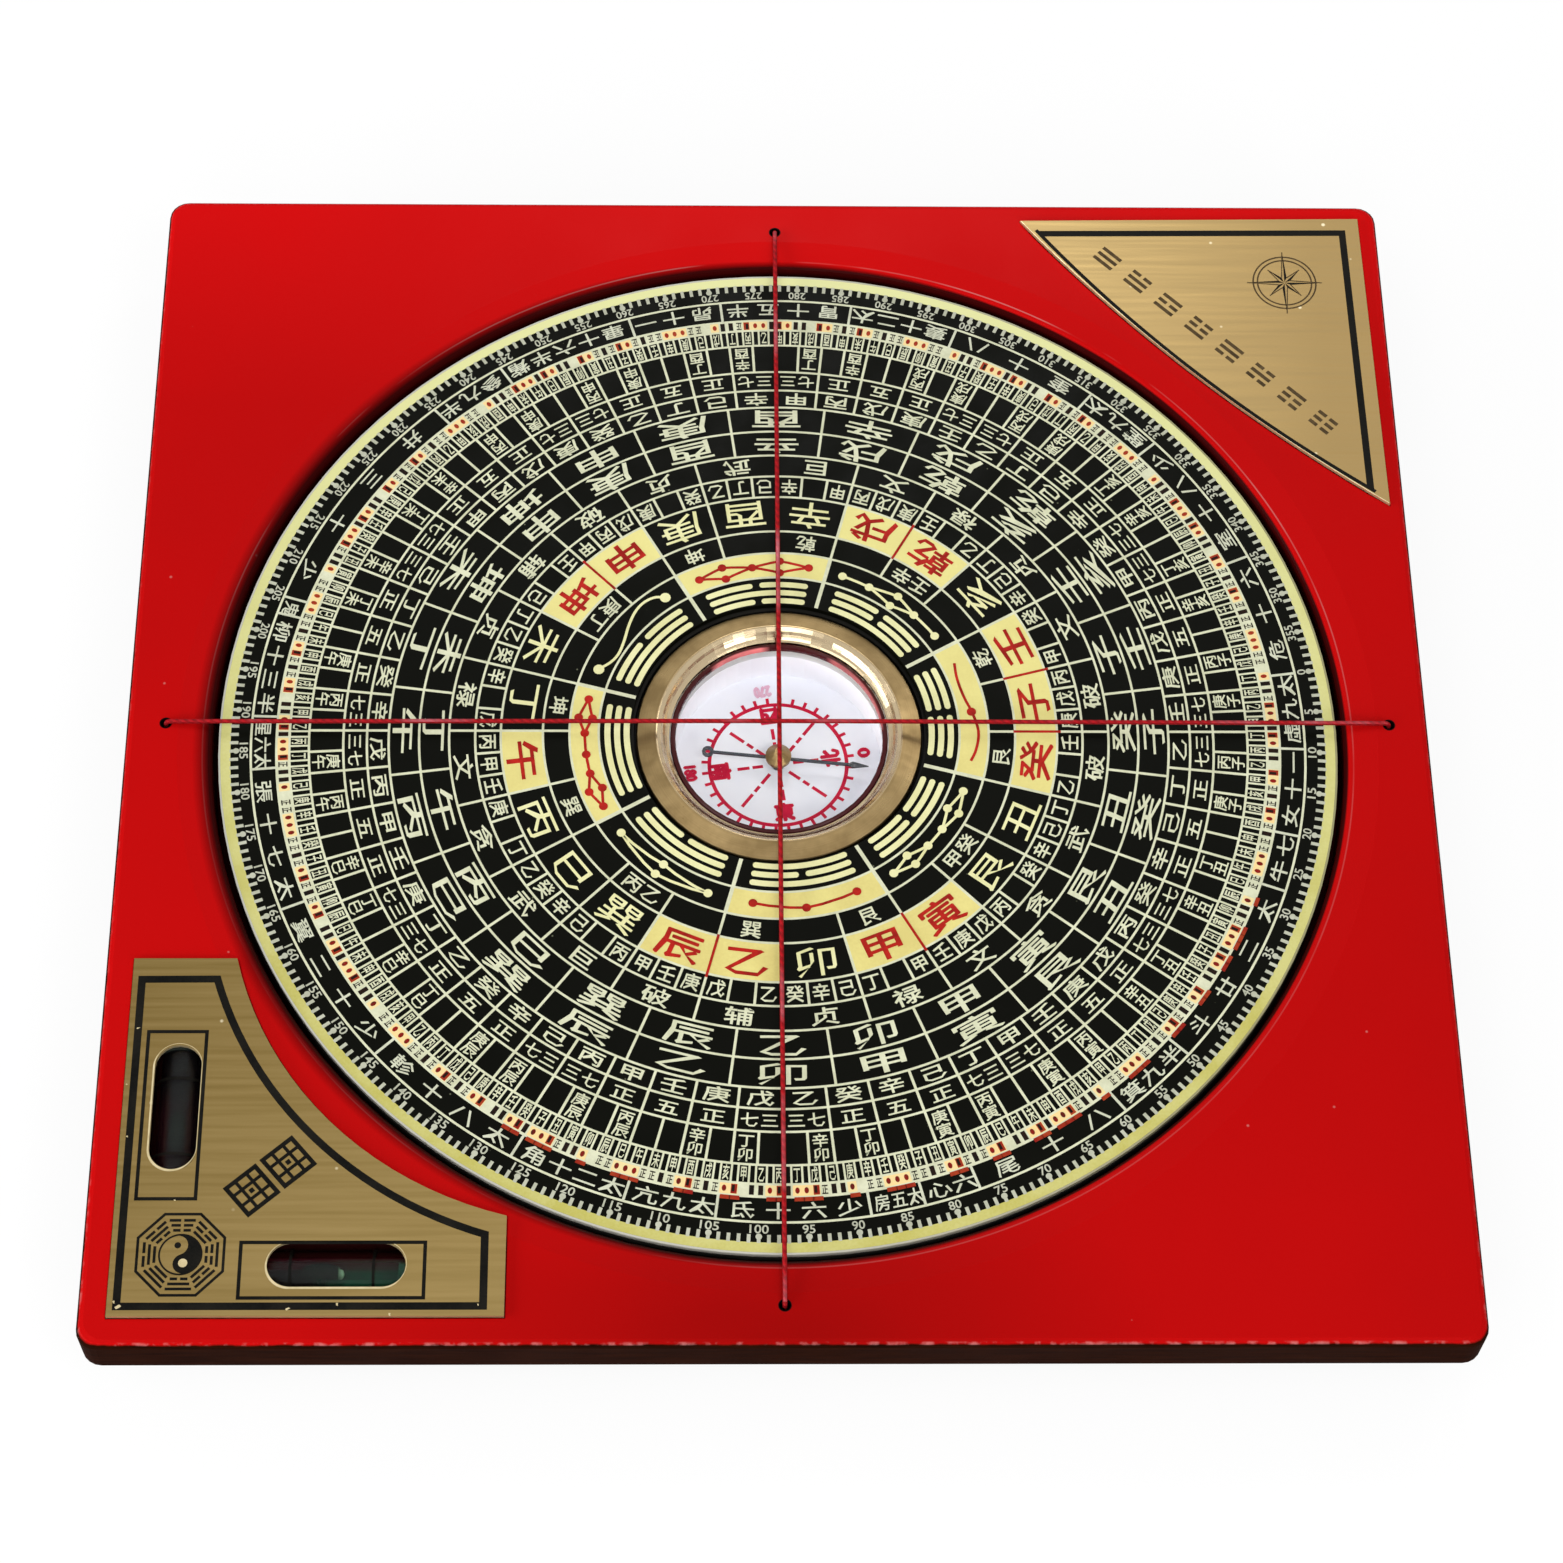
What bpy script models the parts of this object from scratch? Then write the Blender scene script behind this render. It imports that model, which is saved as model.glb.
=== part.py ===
# Feng shui compass (luopan): a square lacquered board, a turning ring dial,
# a sunk compass capsule, two spirit levels under a brass plate and two sighting threads.
# Metres, +Z up, origin at the centre of the board's underside, +Y away from the reader.
import math

import bmesh
import bpy
from mathutils import Matrix, Vector

# Clearances shared by every seat
seat_gap = 0.0003
fine_gap = 0.00012
cut_overrun = 0.004

# Board: its thickness and side follow from what it holds
board_floor = 0.0026
board_corner_radius = 0.0025
board_edge_round = 0.0009
board_band_height = 0.0067
board_foot_inset = 0.009
board_foot_round = 0.0006
thread_hole_gap = 0.006
thread_hole_margin = 0.0051
dial_drop = 0.001
dial_side_clearance = 0.0007
boss_side_clearance = 0.0006
recess_lip_round = 0.0012
recess_dish_width = 0.0032
recess_dish_drop = 0.00025

# Dial: black moulded plate with a printed metal face, turning in the board's round recess
dial_radius = 0.0724
dial_face_thickness = 0.0008
dial_face_bore_clearance = 0.0006
dial_plate_margin = 0.0001
dial_plate_thickness = 0.004
dial_plate_edge_round = 0.0004
dial_boss_wall = 0.0034
dial_boss_floor = 0.001

# Compass capsule
glass_radius = 0.0146
glass_thickness = 0.001
glass_lap = 0.0003
glass_ring_width = 0.0007
glass_ring_height = 0.0009
bezel_mouth_width = 0.0017
bezel_slope_width = 0.0026
bezel_edge_height = 0.0013
bezel_edge_round = 0.00035
bezel_edge_drop = 0.00075
bezel_ridge_rise = 0.00065
bezel_ridge_round = 0.0003
bezel_mouth_drop = 0.0014
bezel_mouth_start_share = 0.2
bezel_mouth_fall_power = 1.5
bezel_skirt_wall = 0.0012
bezel_skirt_depth = 0.00235
cup_wall = 0.001
cup_depth = 0.0056
cup_floor = 0.0012
card_thickness = 0.0003
pin_foot_radius = 0.0006
pin_foot_depth = 0.0005
pin_shank_radius = 0.0003
pin_tip_radius = 0.00008
pin_height = 0.0023

# Compass needle
needle_turn_degrees = -5.95
needle_wall_clearance = 0.0017
needle_spear_length = 0.0021
needle_spear_half_width = 0.00045
needle_tail_setback = 0.0026
needle_tail_ring_radius = 0.00078
needle_tail_ring_bore = 0.00034
needle_half_width = 0.00018
needle_thickness = 0.0003
needle_eye_wall = 0.00048
needle_cap_radius = 0.0017
needle_cap_flange = 0.0005
needle_cap_crown = 0.0011
needle_cap_top_radius = 0.0005
needle_cap_roof = 0.00085
needle_shank_wall = 0.00032
needle_shank_drop = 0.0005
jewel_radius = 0.00046
jewel_height = 0.00055
jewel_dimple_radius = 0.0003
jewel_dimple_depth = 0.0003

# Corner plates: thin brass sheet let into the board's face
plate_thickness = 0.0005
plate_sink = 0.0003
plate_edge_gap = 0.00015
level_plate_margin = 0.0036
level_plate_end = 0.0128
level_plate_tip_gap = 0.0025
level_plate_crown_gap = 0.0008
blank_plate_margin = 0.0027
blank_plate_crown_gap = 0.0019
blank_plate_bulge = 0.00245
blank_plate_turn_degrees = 0.68

# Spirit levels
vial_window_length = 0.0167
vial_window_width = 0.0058
vial_window_inset = 0.0065
vial_place_share = 0.458
vial_length = 0.021
vial_shift = 0.0007
vial_radius = 0.0034
vial_wall = 0.0006
vial_end_wall = 0.0012
vial_plug_length = 0.0012
vial_top_gap = 0.0002
vial_side_gap = 0.0002
channel_end_wall = 0.00105
bubble_length = 0.0056
bubble_radius = 0.0013
bubble_rest = -0.0013
bubble_channel_gap = 0.00025

# Sighting threads
thread_radius = 0.0003
thread_hole_clearance = 0.0004
cross_thread_offset = 0.0005
thread_bend_radius = 0.0007
thread_lift = 0.00016
thread_dip = 0.0004
thread_cross_gap = 0.00015
knot_radius = 0.0011
knot_length = 0.0018
knot_bore_clearance = 0.0005
knot_bore_top = 0.0082
knot_tip_share = 0.6
thread_sag_shares = (0.25, 0.5, 0.75)

# Facets
recess_steps = 120
dial_steps = 96
bezel_steps = 64
capsule_steps = 48
small_steps = 20
corner_steps = 5
arc_steps = 20
round_steps = 3
edge_steps = 2
smooth_degrees = 32
weld_share = 0.01

# Heights worked out from the board's underside upwards
boss_pocket_floor = board_floor
boss_bottom = boss_pocket_floor + seat_gap
cup_pocket_floor = boss_bottom + dial_boss_floor
cup_bottom = cup_pocket_floor + seat_gap
cup_floor_top = cup_bottom + cup_floor
cup_rim = cup_floor_top + cup_depth
glass_bottom = cup_rim + seat_gap
glass_top = glass_bottom + glass_thickness
bezel_shoulder = glass_top + seat_gap
glass_ring_top = bezel_shoulder + glass_ring_height
bezel_ridge_top = glass_ring_top + bezel_mouth_drop
bezel_edge_top = bezel_ridge_top - bezel_ridge_rise
bezel_flange_bottom = bezel_edge_top - bezel_edge_height
bezel_seat = bezel_flange_bottom - seat_gap
bezel_skirt_bottom = bezel_flange_bottom - bezel_skirt_depth
skirt_pocket_floor = bezel_skirt_bottom - seat_gap
dial_face_top = bezel_edge_top + bezel_edge_drop
dial_face_bottom = dial_face_top - dial_face_thickness
dial_plate_top = dial_face_bottom - seat_gap
dial_plate_bottom = dial_plate_top - dial_plate_thickness
recess_floor = dial_plate_bottom - seat_gap
board_top = dial_face_top + dial_drop
card_bottom = cup_floor_top + seat_gap
card_top = card_bottom + card_thickness
pin_tip = card_top + pin_height
jewel_bottom = pin_tip + fine_gap - jewel_dimple_depth
jewel_top = jewel_bottom + jewel_height
cap_bore_top = jewel_top + fine_gap
cap_top = cap_bore_top + needle_cap_roof
cap_flange_top = cap_top - needle_cap_crown
cap_flange_bottom = cap_flange_top - needle_cap_flange
blade_top = cap_flange_bottom - fine_gap
blade_bottom = blade_top - needle_thickness
shank_bottom = blade_bottom - needle_shank_drop
plate_bottom = board_top - plate_sink + seat_gap
plate_top = plate_bottom + plate_thickness
vial_axis = board_top - plate_sink - vial_top_gap - vial_radius

# Radii worked out from the glass outwards
cup_inner_radius = glass_radius - cup_wall
card_radius = cup_inner_radius - seat_gap
card_bore = pin_foot_radius + seat_gap
cup_pocket_radius = glass_radius + seat_gap
bezel_skirt_radius = cup_pocket_radius + bezel_skirt_wall
skirt_pocket_radius = bezel_skirt_radius + seat_gap
bezel_mouth_radius = glass_radius - glass_lap
bezel_ridge_radius = bezel_mouth_radius + bezel_mouth_width
bezel_radius = bezel_ridge_radius + bezel_slope_width
dial_face_bore = bezel_radius + dial_face_bore_clearance
boss_radius = cup_pocket_radius + dial_boss_wall
boss_pocket_radius = boss_radius + boss_side_clearance
dial_plate_radius = dial_radius + dial_plate_margin
recess_radius = dial_plate_radius + dial_side_clearance
lip_radius = recess_radius + recess_lip_round
dish_radius = lip_radius + recess_dish_width
thread_reach = recess_radius + thread_hole_gap
thread_hole_radius = thread_radius + thread_hole_clearance
knot_bore_radius = knot_radius + knot_bore_clearance
half_board = thread_reach + thread_hole_margin
needle_point_reach = cup_inner_radius - needle_wall_clearance
needle_tail_reach = needle_point_reach - needle_tail_setback
needle_bore = jewel_radius + fine_gap
needle_shank_radius = needle_bore + needle_shank_wall
needle_eye_bore = needle_shank_radius + fine_gap
needle_eye_radius = needle_eye_bore + needle_eye_wall
vial_bore = vial_radius - vial_wall
bubble_axis = vial_axis + vial_bore - bubble_radius - bubble_channel_gap

# Corner plates: ends beside the recess and long sides that follow it
level_plate_low = level_plate_margin - half_board
level_plate_tip = level_plate_low + level_plate_end
level_plate_high = -math.sqrt((recess_radius + level_plate_tip_gap) ** 2 - level_plate_tip ** 2)
level_plate_crown = dish_radius + level_plate_crown_gap
blank_plate_high = half_board - blank_plate_margin
blank_plate_crown = dish_radius + blank_plate_crown_gap
blank_plate_low = (blank_plate_crown + blank_plate_bulge) * math.sqrt(2) - blank_plate_high

# Vials: each lies clear of the other one's side, on the rest of the plate's run
vial_row = level_plate_low + vial_window_inset
vial_run_start = vial_row + vial_radius
window_run = vial_run_start + (level_plate_high - vial_run_start) * vial_place_share
vial_run = window_run - vial_shift
liquid_low = -vial_length / 2 + vial_end_wall + vial_side_gap
liquid_high = vial_length / 2 - vial_plug_length - vial_side_gap
liquid_radius = vial_bore - vial_side_gap
channel_half = (liquid_high - liquid_low) / 2 - channel_end_wall


def clear_scene():
    for old in list(bpy.data.objects):
        bpy.data.objects.remove(old, do_unlink=True)


def finish(name, colour, roughness, metallic=0.0, transmission=0.0):
    material = bpy.data.materials.new(name)
    material.use_nodes = True
    shader = material.node_tree.nodes["Principled BSDF"]
    shader.inputs["Base Color"].default_value = (*colour, 1.0)
    shader.inputs["Roughness"].default_value = roughness
    shader.inputs["Metallic"].default_value = metallic
    shader.inputs["Transmission Weight"].default_value = transmission
    return material


def link(name, mesh, material, parent=None):
    mesh.materials.append(material)
    mesh.shade_smooth()
    mesh.set_sharp_from_angle(angle=math.radians(smooth_degrees))
    piece = bpy.data.objects.new(name, mesh)
    bpy.context.scene.collection.objects.link(piece)
    if parent:
        piece.parent = parent
        piece.matrix_parent_inverse = parent.matrix_world.inverted()
    return piece


def axis_empty(name, location, parent=None):
    empty = bpy.data.objects.new(name, None)
    bpy.context.scene.collection.objects.link(empty)
    empty.location = location
    if parent:
        empty.parent = parent
    bpy.context.view_layer.update()
    return empty


def mesh_from(bm, name):
    bmesh.ops.recalc_face_normals(bm, faces=bm.faces)
    mesh = bpy.data.meshes.new(name)
    bm.to_mesh(mesh)
    bm.free()
    return mesh


def turned(name, profile, steps, closed=True):
    """Spin a profile of (radius, height) points about Z; an open one starts and ends on the axis."""
    bm = bmesh.new()
    verts = [bm.verts.new((radius, 0.0, height)) for radius, height in profile]
    edges = [bm.edges.new(pair) for pair in zip(verts, verts[1:])]
    if closed:
        edges.append(bm.edges.new((verts[-1], verts[0])))
    bmesh.ops.spin(bm, geom=verts + edges, cent=(0, 0, 0), axis=(0, 0, 1), angle=2 * math.pi,
                   steps=steps, use_merge=True)
    bmesh.ops.remove_doubles(bm, verts=bm.verts, dist=fine_gap * weld_share)
    return mesh_from(bm, name)


def prism(name, outline, bottom, top):
    """Extrude a closed outline of (x, y) points from one height to another."""
    bm = bmesh.new()
    face = bm.faces.new([bm.verts.new((x, y, bottom)) for x, y in outline])
    grown = bmesh.ops.extrude_face_region(bm, geom=[face])["geom"]
    lifted = [item for item in grown if isinstance(item, bmesh.types.BMVert)]
    bmesh.ops.translate(bm, verts=lifted, vec=(0, 0, top - bottom))
    return mesh_from(bm, name)


def lofted(name, sections):
    """Join rings of points, bottom to top, into one closed body."""
    bm = bmesh.new()
    rings = [[bm.verts.new(point) for point in section] for section in sections]
    for lower, upper in zip(rings, rings[1:]):
        bmesh.ops.bridge_loops(bm, edges=ring_edges(bm, lower) + ring_edges(bm, upper))
    bm.faces.new(rings[0])
    bm.faces.new(rings[-1])
    return mesh_from(bm, name)


def ring_edges(bm, ring):
    found = []
    for first, second in zip(ring, ring[1:] + ring[:1]):
        edge = bm.edges.get((first, second))
        found.append(edge if edge else bm.edges.new((first, second)))
    return found


def arc(centre, radius, start, end, steps):
    """Points on an arc, angles in degrees."""
    points = []
    for step in range(steps + 1):
        angle = math.radians(start + (end - start) * step / steps)
        points.append((centre[0] + radius * math.cos(angle), centre[1] + radius * math.sin(angle)))
    return points


def cylinder_profile(radius, low, high):
    return [(0, low), (radius, low), (radius, high), (0, high)]


def rounded_square(half, radius, height):
    points = []
    for turn in (0, 90, 180, 270):
        corner = Matrix.Rotation(math.radians(turn), 2) @ Vector((half - radius, half - radius))
        points += arc(corner, radius, turn, turn + 90, corner_steps)
    return [(x, y, height) for x, y in points]


def stadium(centre, length, width, along_y=False):
    half_run = (length - width) / 2
    radius = width / 2
    points = arc((half_run, 0), radius, -90, 90, corner_steps * 2)
    points += arc((-half_run, 0), radius, 90, 270, corner_steps * 2)
    if along_y:
        points = [(-y, x) for x, y in points]
    return [(centre[0] + x, centre[1] + y) for x, y in points]


def cut(piece, cutter_mesh, name, location=(0, 0, 0), rotation=(0, 0, 0)):
    """Take a cutter away from a piece with an exact Boolean."""
    cutter = bpy.data.objects.new(name, cutter_mesh)
    bpy.context.scene.collection.objects.link(cutter)
    cutter.location = location
    cutter.rotation_euler = rotation
    cutter.hide_render = True
    cutter.display_type = "WIRE"
    modifier = piece.modifiers.new(name, "BOOLEAN")
    modifier.operation = "DIFFERENCE"
    modifier.solver = "EXACT"
    modifier.object = cutter
    return cutter


# Board


def board_sections():
    """Rounded square sections: undercut foot, straight band, rounded top edge."""
    insets = []
    for x, height in arc((0, board_foot_round), board_foot_round, -90, -45, round_steps):
        insets.append((board_foot_inset - x, height))
    band_bottom = board_top - board_band_height
    insets.append((board_foot_round / 2, band_bottom - board_foot_round / 2))
    insets.append((0, band_bottom + board_foot_round / 2))
    edge_centre = (-board_edge_round, board_top - board_edge_round)
    for x, height in arc(edge_centre, board_edge_round, 0, 90, round_steps):
        insets.append((-x, height))
    return [rounded_square(half_board - inset, board_corner_radius, height) for inset, height in insets]


def recess_profile():
    """Cutter for the dial's recess, its rounded and dished lip, and the boss pocket."""
    lip_centre = (lip_radius, board_top - recess_dish_drop - recess_lip_round)
    top = board_top + cut_overrun
    profile = [(0, boss_pocket_floor), (boss_pocket_radius, boss_pocket_floor),
               (boss_pocket_radius, recess_floor), (recess_radius, recess_floor)]
    profile += arc(lip_centre, recess_lip_round, 180, 90, corner_steps)
    profile += [(dish_radius, board_top), (dish_radius, top), (0, top)]
    return profile


def thread_hole_profile():
    """Stepped cutter: a fine hole through the board and a wider bore for the knot below."""
    top = board_top + cut_overrun
    return [(0, -cut_overrun), (knot_bore_radius, -cut_overrun), (knot_bore_radius, knot_bore_top),
            (thread_hole_radius, knot_bore_top), (thread_hole_radius, top), (0, top)]


def thread_hole_places():
    return {"east": (thread_reach, cross_thread_offset), "north": (0, thread_reach),
            "west": (-thread_reach, cross_thread_offset), "south": (0, -thread_reach)}


def vial_groove(length):
    """Round-bottomed trough, open at the top, with its axis along X."""
    radius = vial_radius + vial_side_gap
    depth = board_top + cut_overrun - vial_axis
    outline = arc((0, 0), radius, 180, 360, arc_steps) + [(radius, depth), (-radius, depth)]
    mesh = prism("vial_groove", outline, -length / 2, length / 2)
    mesh.transform(Matrix.Rotation(math.pi / 2, 4, "Z") @ Matrix.Rotation(math.pi / 2, 4, "X"))
    return mesh


def make_board():
    board = link("base_board", lofted("base_board", board_sections()), lacquer)
    cut(board, turned("recess", recess_profile(), recess_steps, closed=False), "recess_cutter")
    for name, outline in (("level", level_outline(plate_edge_gap)), ("blank", blank_outline(plate_edge_gap))):
        pocket = prism(name, outline, board_top - plate_sink, board_top + cut_overrun)
        cut(board, pocket, name + "_plate_pocket_cutter")
    groove_length = vial_length + 2 * vial_side_gap
    for name, (place, turn) in vial_places().items():
        cut(board, vial_groove(groove_length), name + "_groove_cutter", (*place, vial_axis), (0, 0, turn))
    for name, place in thread_hole_places().items():
        hole = turned(name, thread_hole_profile(), small_steps, closed=False)
        cut(board, hole, name + "_hole_cutter", (*place, 0))


# Corner plates


def diagonal_arc(first, last, crown, grow):
    """Arc between two points mirrored across the diagonal; its middle lies at the crown distance."""
    middle = (first + last) / math.sqrt(2)
    half_chord = abs(last - first) / math.sqrt(2)
    rise = crown - middle
    radius = (half_chord ** 2 + rise ** 2) / (2 * rise)
    half_angle = math.degrees(math.asin(half_chord / abs(radius)))
    centre = (crown - radius) / math.sqrt(2)
    facing = 45 if radius > 0 else 225
    start, end = facing + half_angle, facing - half_angle
    return arc((centre, centre), abs(radius) - grow * math.copysign(1, radius), start, end, arc_steps)


def level_outline(grow=0.0):
    """Lower-left plate: two square sides, two short ends and an arc that follows the dial."""
    low = level_plate_low - grow
    high = level_plate_high + grow
    tip = level_plate_tip + grow
    curve = diagonal_arc(-level_plate_tip, -level_plate_high, level_plate_crown, grow)[1:-1]
    bow = [(-x, -y) for x, y in curve]
    return [(low, low), (high, low), (high, tip)] + bow + [(tip, high), (low, high)]


def blank_outline(grow=0.0):
    """Upper-right plate: a right angle and a long side bowed towards the dial, glued a little askew."""
    low = blank_plate_low - grow
    high = blank_plate_high + grow
    curve = diagonal_arc(blank_plate_low, blank_plate_high, blank_plate_crown, grow)[1:-1]
    corner = Vector((blank_plate_high, blank_plate_high))
    turn = Matrix.Rotation(math.radians(blank_plate_turn_degrees), 2)
    square = [(high, high), (high, low)] + curve + [(low, high)]
    return [tuple(corner + turn @ (Vector(point) - corner)) for point in square]


def window_places():
    """Window centres along the front side and along the left side."""
    return {"front": ((window_run, vial_row), False), "side": ((vial_row, window_run), True)}


def make_plates():
    level = prism("corner_plate_level", level_outline(), plate_bottom, plate_top)
    level_plate = link("corner_plate_level", level, plate_brass)
    for name, (centre, along_y) in window_places().items():
        outline = stadium(centre, vial_window_length, vial_window_width, along_y)
        window = prism(name, outline, plate_bottom - cut_overrun, plate_top + cut_overrun)
        cut(level_plate, window, name + "_window_cutter")
    blank = prism("corner_plate_blank", blank_outline(), plate_bottom, plate_top)
    link("corner_plate_blank", blank, plate_brass)


# Spirit levels


def vial_places():
    """Centre and turn about Z of each vial; the side one is the front one mirrored across the diagonal."""
    return {"front_vial": ((vial_run, vial_row), 0.0), "side_vial": ((vial_row, vial_run), math.pi / 2)}


def along_x(name, profile):
    """A turned solid with its axis laid along X."""
    mesh = turned(name, profile, small_steps, closed=False)
    mesh.transform(Matrix.Rotation(math.pi / 2, 4, "Y"))
    return mesh


def vial_tube_profile():
    half = vial_length / 2
    return [(0, -half), (vial_radius, -half), (vial_radius, half), (vial_bore, half),
            (vial_bore, -half + vial_end_wall), (0, -half + vial_end_wall)]


def bubble_profile():
    """A long drop: an ellipse turned about the vial's axis."""
    points = arc((0, 0), 1, -90, 90, round_steps * 3)
    return [(abs(x) * bubble_radius, y * bubble_length / 2) for x, y in points]


def cut_bubble_channel(liquid, frame):
    """Round run for the bubble along the top of the liquid, open upwards by a narrow slot."""
    height = bubble_axis - vial_axis
    channel_radius = bubble_radius + bubble_channel_gap
    channel = along_x("channel", cylinder_profile(channel_radius, -channel_half, channel_half))
    cut(liquid, channel, frame.name + "_channel_cutter", (0, 0, height)).parent = frame
    half_slot = bubble_radius / 2
    corners = [(-channel_half, -half_slot), (channel_half, -half_slot),
               (channel_half, half_slot), (-channel_half, half_slot)]
    slot = prism("slot", corners, height, vial_radius + cut_overrun)
    cut(liquid, slot, frame.name + "_slot_cutter").parent = frame


def make_vial(name, place, turn):
    half = vial_length / 2
    frame = axis_empty(name + "_axis", (*place, vial_axis))
    frame.rotation_euler = (0, 0, turn)
    plug = cylinder_profile(vial_bore - vial_side_gap, half - vial_plug_length, half)
    liquid = cylinder_profile(liquid_radius, liquid_low, liquid_high)
    pieces = {"_tube": (vial_tube_profile(), clear_acrylic), "_plug": (plug, plug_white),
              "_liquid": (liquid, level_liquid)}
    for ending, (profile, material) in pieces.items():
        piece = link(name + ending, along_x(name + ending, profile), material)
        piece.parent = frame
    cut_bubble_channel(bpy.data.objects[name + "_liquid"], frame)
    return frame


def make_levels():
    for name, (place, turn) in vial_places().items():
        frame = make_vial(name, place, turn)
        bubble_name = name.replace("vial", "bubble")
        bubble = link(bubble_name, along_x(bubble_name, bubble_profile()), air)
        bubble.parent = frame
        bubble.location = (bubble_rest, 0, bubble_axis - vial_axis)


# Dial


def dial_plate_profile():
    """Moulded plate with a boss below and a stepped pocket for the capsule."""
    corner = (dial_plate_radius - dial_plate_edge_round, dial_plate_top - dial_plate_edge_round)
    flange_pocket_radius = bezel_radius + seat_gap
    below = [(0, boss_bottom), (boss_radius, boss_bottom), (boss_radius, dial_plate_bottom),
             (dial_plate_radius, dial_plate_bottom)]
    above = [(flange_pocket_radius, dial_plate_top), (flange_pocket_radius, bezel_seat),
             (skirt_pocket_radius, bezel_seat), (skirt_pocket_radius, skirt_pocket_floor),
             (cup_pocket_radius, skirt_pocket_floor), (cup_pocket_radius, cup_pocket_floor),
             (0, cup_pocket_floor)]
    return below + arc(corner, dial_plate_edge_round, 0, 90, edge_steps) + above


def bezel_mouth():
    """Falling inner wall of the bezel, steep at the ridge and flatter at the glass."""
    points = []
    for step in range(1, corner_steps):
        share = step / corner_steps
        sink = bezel_mouth_drop * (1 - (1 - share) ** bezel_mouth_fall_power)
        run = bezel_mouth_width * (bezel_mouth_start_share + (1 - bezel_mouth_start_share) * share)
        points.append((bezel_ridge_radius - run, bezel_ridge_top - sink))
    return points


def bezel_profile():
    """Brass bezel: rounded edge, outer slope, ridge, falling mouth, glass seat and skirt."""
    edge_centre = (bezel_radius - bezel_edge_round, bezel_edge_top - bezel_edge_round)
    ridge_centre = (bezel_ridge_radius, bezel_ridge_top - bezel_ridge_round)
    skirt = [(bezel_skirt_radius, bezel_skirt_bottom), (bezel_skirt_radius, bezel_flange_bottom),
             (bezel_radius, bezel_flange_bottom)]
    seat = [(bezel_mouth_radius, glass_ring_top), (bezel_mouth_radius, bezel_shoulder),
            (cup_pocket_radius, bezel_shoulder), (cup_pocket_radius, bezel_skirt_bottom)]
    edge = arc(edge_centre, bezel_edge_round, 0, 65, edge_steps)
    ridge = arc(ridge_centre, bezel_ridge_round, 70, 140, round_steps)
    return skirt + edge + ridge + bezel_mouth() + seat


def glass_ring_profile():
    """Soft ring above the glass, rounded on top."""
    outer = bezel_mouth_radius - fine_gap
    inner = outer - glass_ring_width
    half_width = glass_ring_width / 2
    crown = arc((outer - half_width, glass_ring_top - half_width), half_width, 0, 180, round_steps + 1)
    return [(inner, bezel_shoulder), (outer, bezel_shoulder)] + crown


def cup_profile():
    """Open cup with a blind socket in its floor for the pivot pin's foot."""
    socket_floor = cup_floor_top - pin_foot_depth - fine_gap
    socket_radius = pin_foot_radius + fine_gap
    return [(0, cup_bottom), (glass_radius, cup_bottom), (glass_radius, cup_rim), (cup_inner_radius, cup_rim),
            (cup_inner_radius, cup_floor_top), (socket_radius, cup_floor_top), (socket_radius, socket_floor),
            (0, socket_floor)]


def pin_profile():
    """Pivot pin: foot in the cup's floor, slim shank, needle-sharp tip."""
    foot_bottom = cup_floor_top - pin_foot_depth
    taper_start = card_top + pin_height / 2
    return [(0, foot_bottom), (pin_foot_radius, foot_bottom), (pin_foot_radius, card_top),
            (pin_shank_radius, card_top + pin_foot_radius), (pin_shank_radius, taper_start),
            (pin_tip_radius, pin_tip), (0, pin_tip)]


def make_dial():
    axis = axis_empty("dial_axis", (0, 0, dial_plate_bottom))
    face = [(dial_face_bore, dial_face_bottom), (dial_radius, dial_face_bottom),
            (dial_radius, dial_face_top), (dial_face_bore, dial_face_top)]
    card = [(card_bore, card_bottom), (card_radius, card_bottom),
            (card_radius, card_top), (card_bore, card_top)]
    pane = cylinder_profile(glass_radius, glass_bottom, glass_top)
    rings = {"dial_face": (face, recess_steps, dial_print),
             "bezel_ring": (bezel_profile(), bezel_steps, bright_brass),
             "glass_ring": (glass_ring_profile(), capsule_steps, ring_red),
             "compass_card": (card, capsule_steps, card_white)}
    solids = {"dial_plate": (dial_plate_profile(), dial_steps, bakelite),
              "compass_glass": (pane, capsule_steps, pane_glass),
              "compass_cup": (cup_profile(), capsule_steps, cup_white),
              "pivot_pin": (pin_profile(), small_steps // 2, steel)}
    for closed, pieces in ((True, rings), (False, solids)):
        for name, (profile, steps, material) in pieces.items():
            link(name, turned(name, profile, steps, closed), material, axis)
    return axis


# Needle


def blade_outline():
    """Spear, shaft, round eye for the cap and tail ring, as one outline."""
    half = needle_half_width
    eye_angle = math.degrees(math.asin(half / needle_eye_radius))
    tail_angle = math.degrees(math.asin(half / needle_tail_ring_radius))
    spear_back = needle_point_reach - needle_spear_length
    spear_neck = spear_back - needle_spear_half_width
    tail_centre = (-needle_tail_reach, 0)
    steps = corner_steps * 2
    points = [(needle_point_reach, 0), (spear_back, needle_spear_half_width), (spear_neck, half)]
    points += arc((0, 0), needle_eye_radius, eye_angle, 180 - eye_angle, steps)
    points += arc(tail_centre, needle_tail_ring_radius, tail_angle, 360 - tail_angle, steps)
    points += arc((0, 0), needle_eye_radius, 180 + eye_angle, 360 - eye_angle, steps)
    points += [(spear_neck, -half), (spear_back, -needle_spear_half_width)]
    return points


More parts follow.
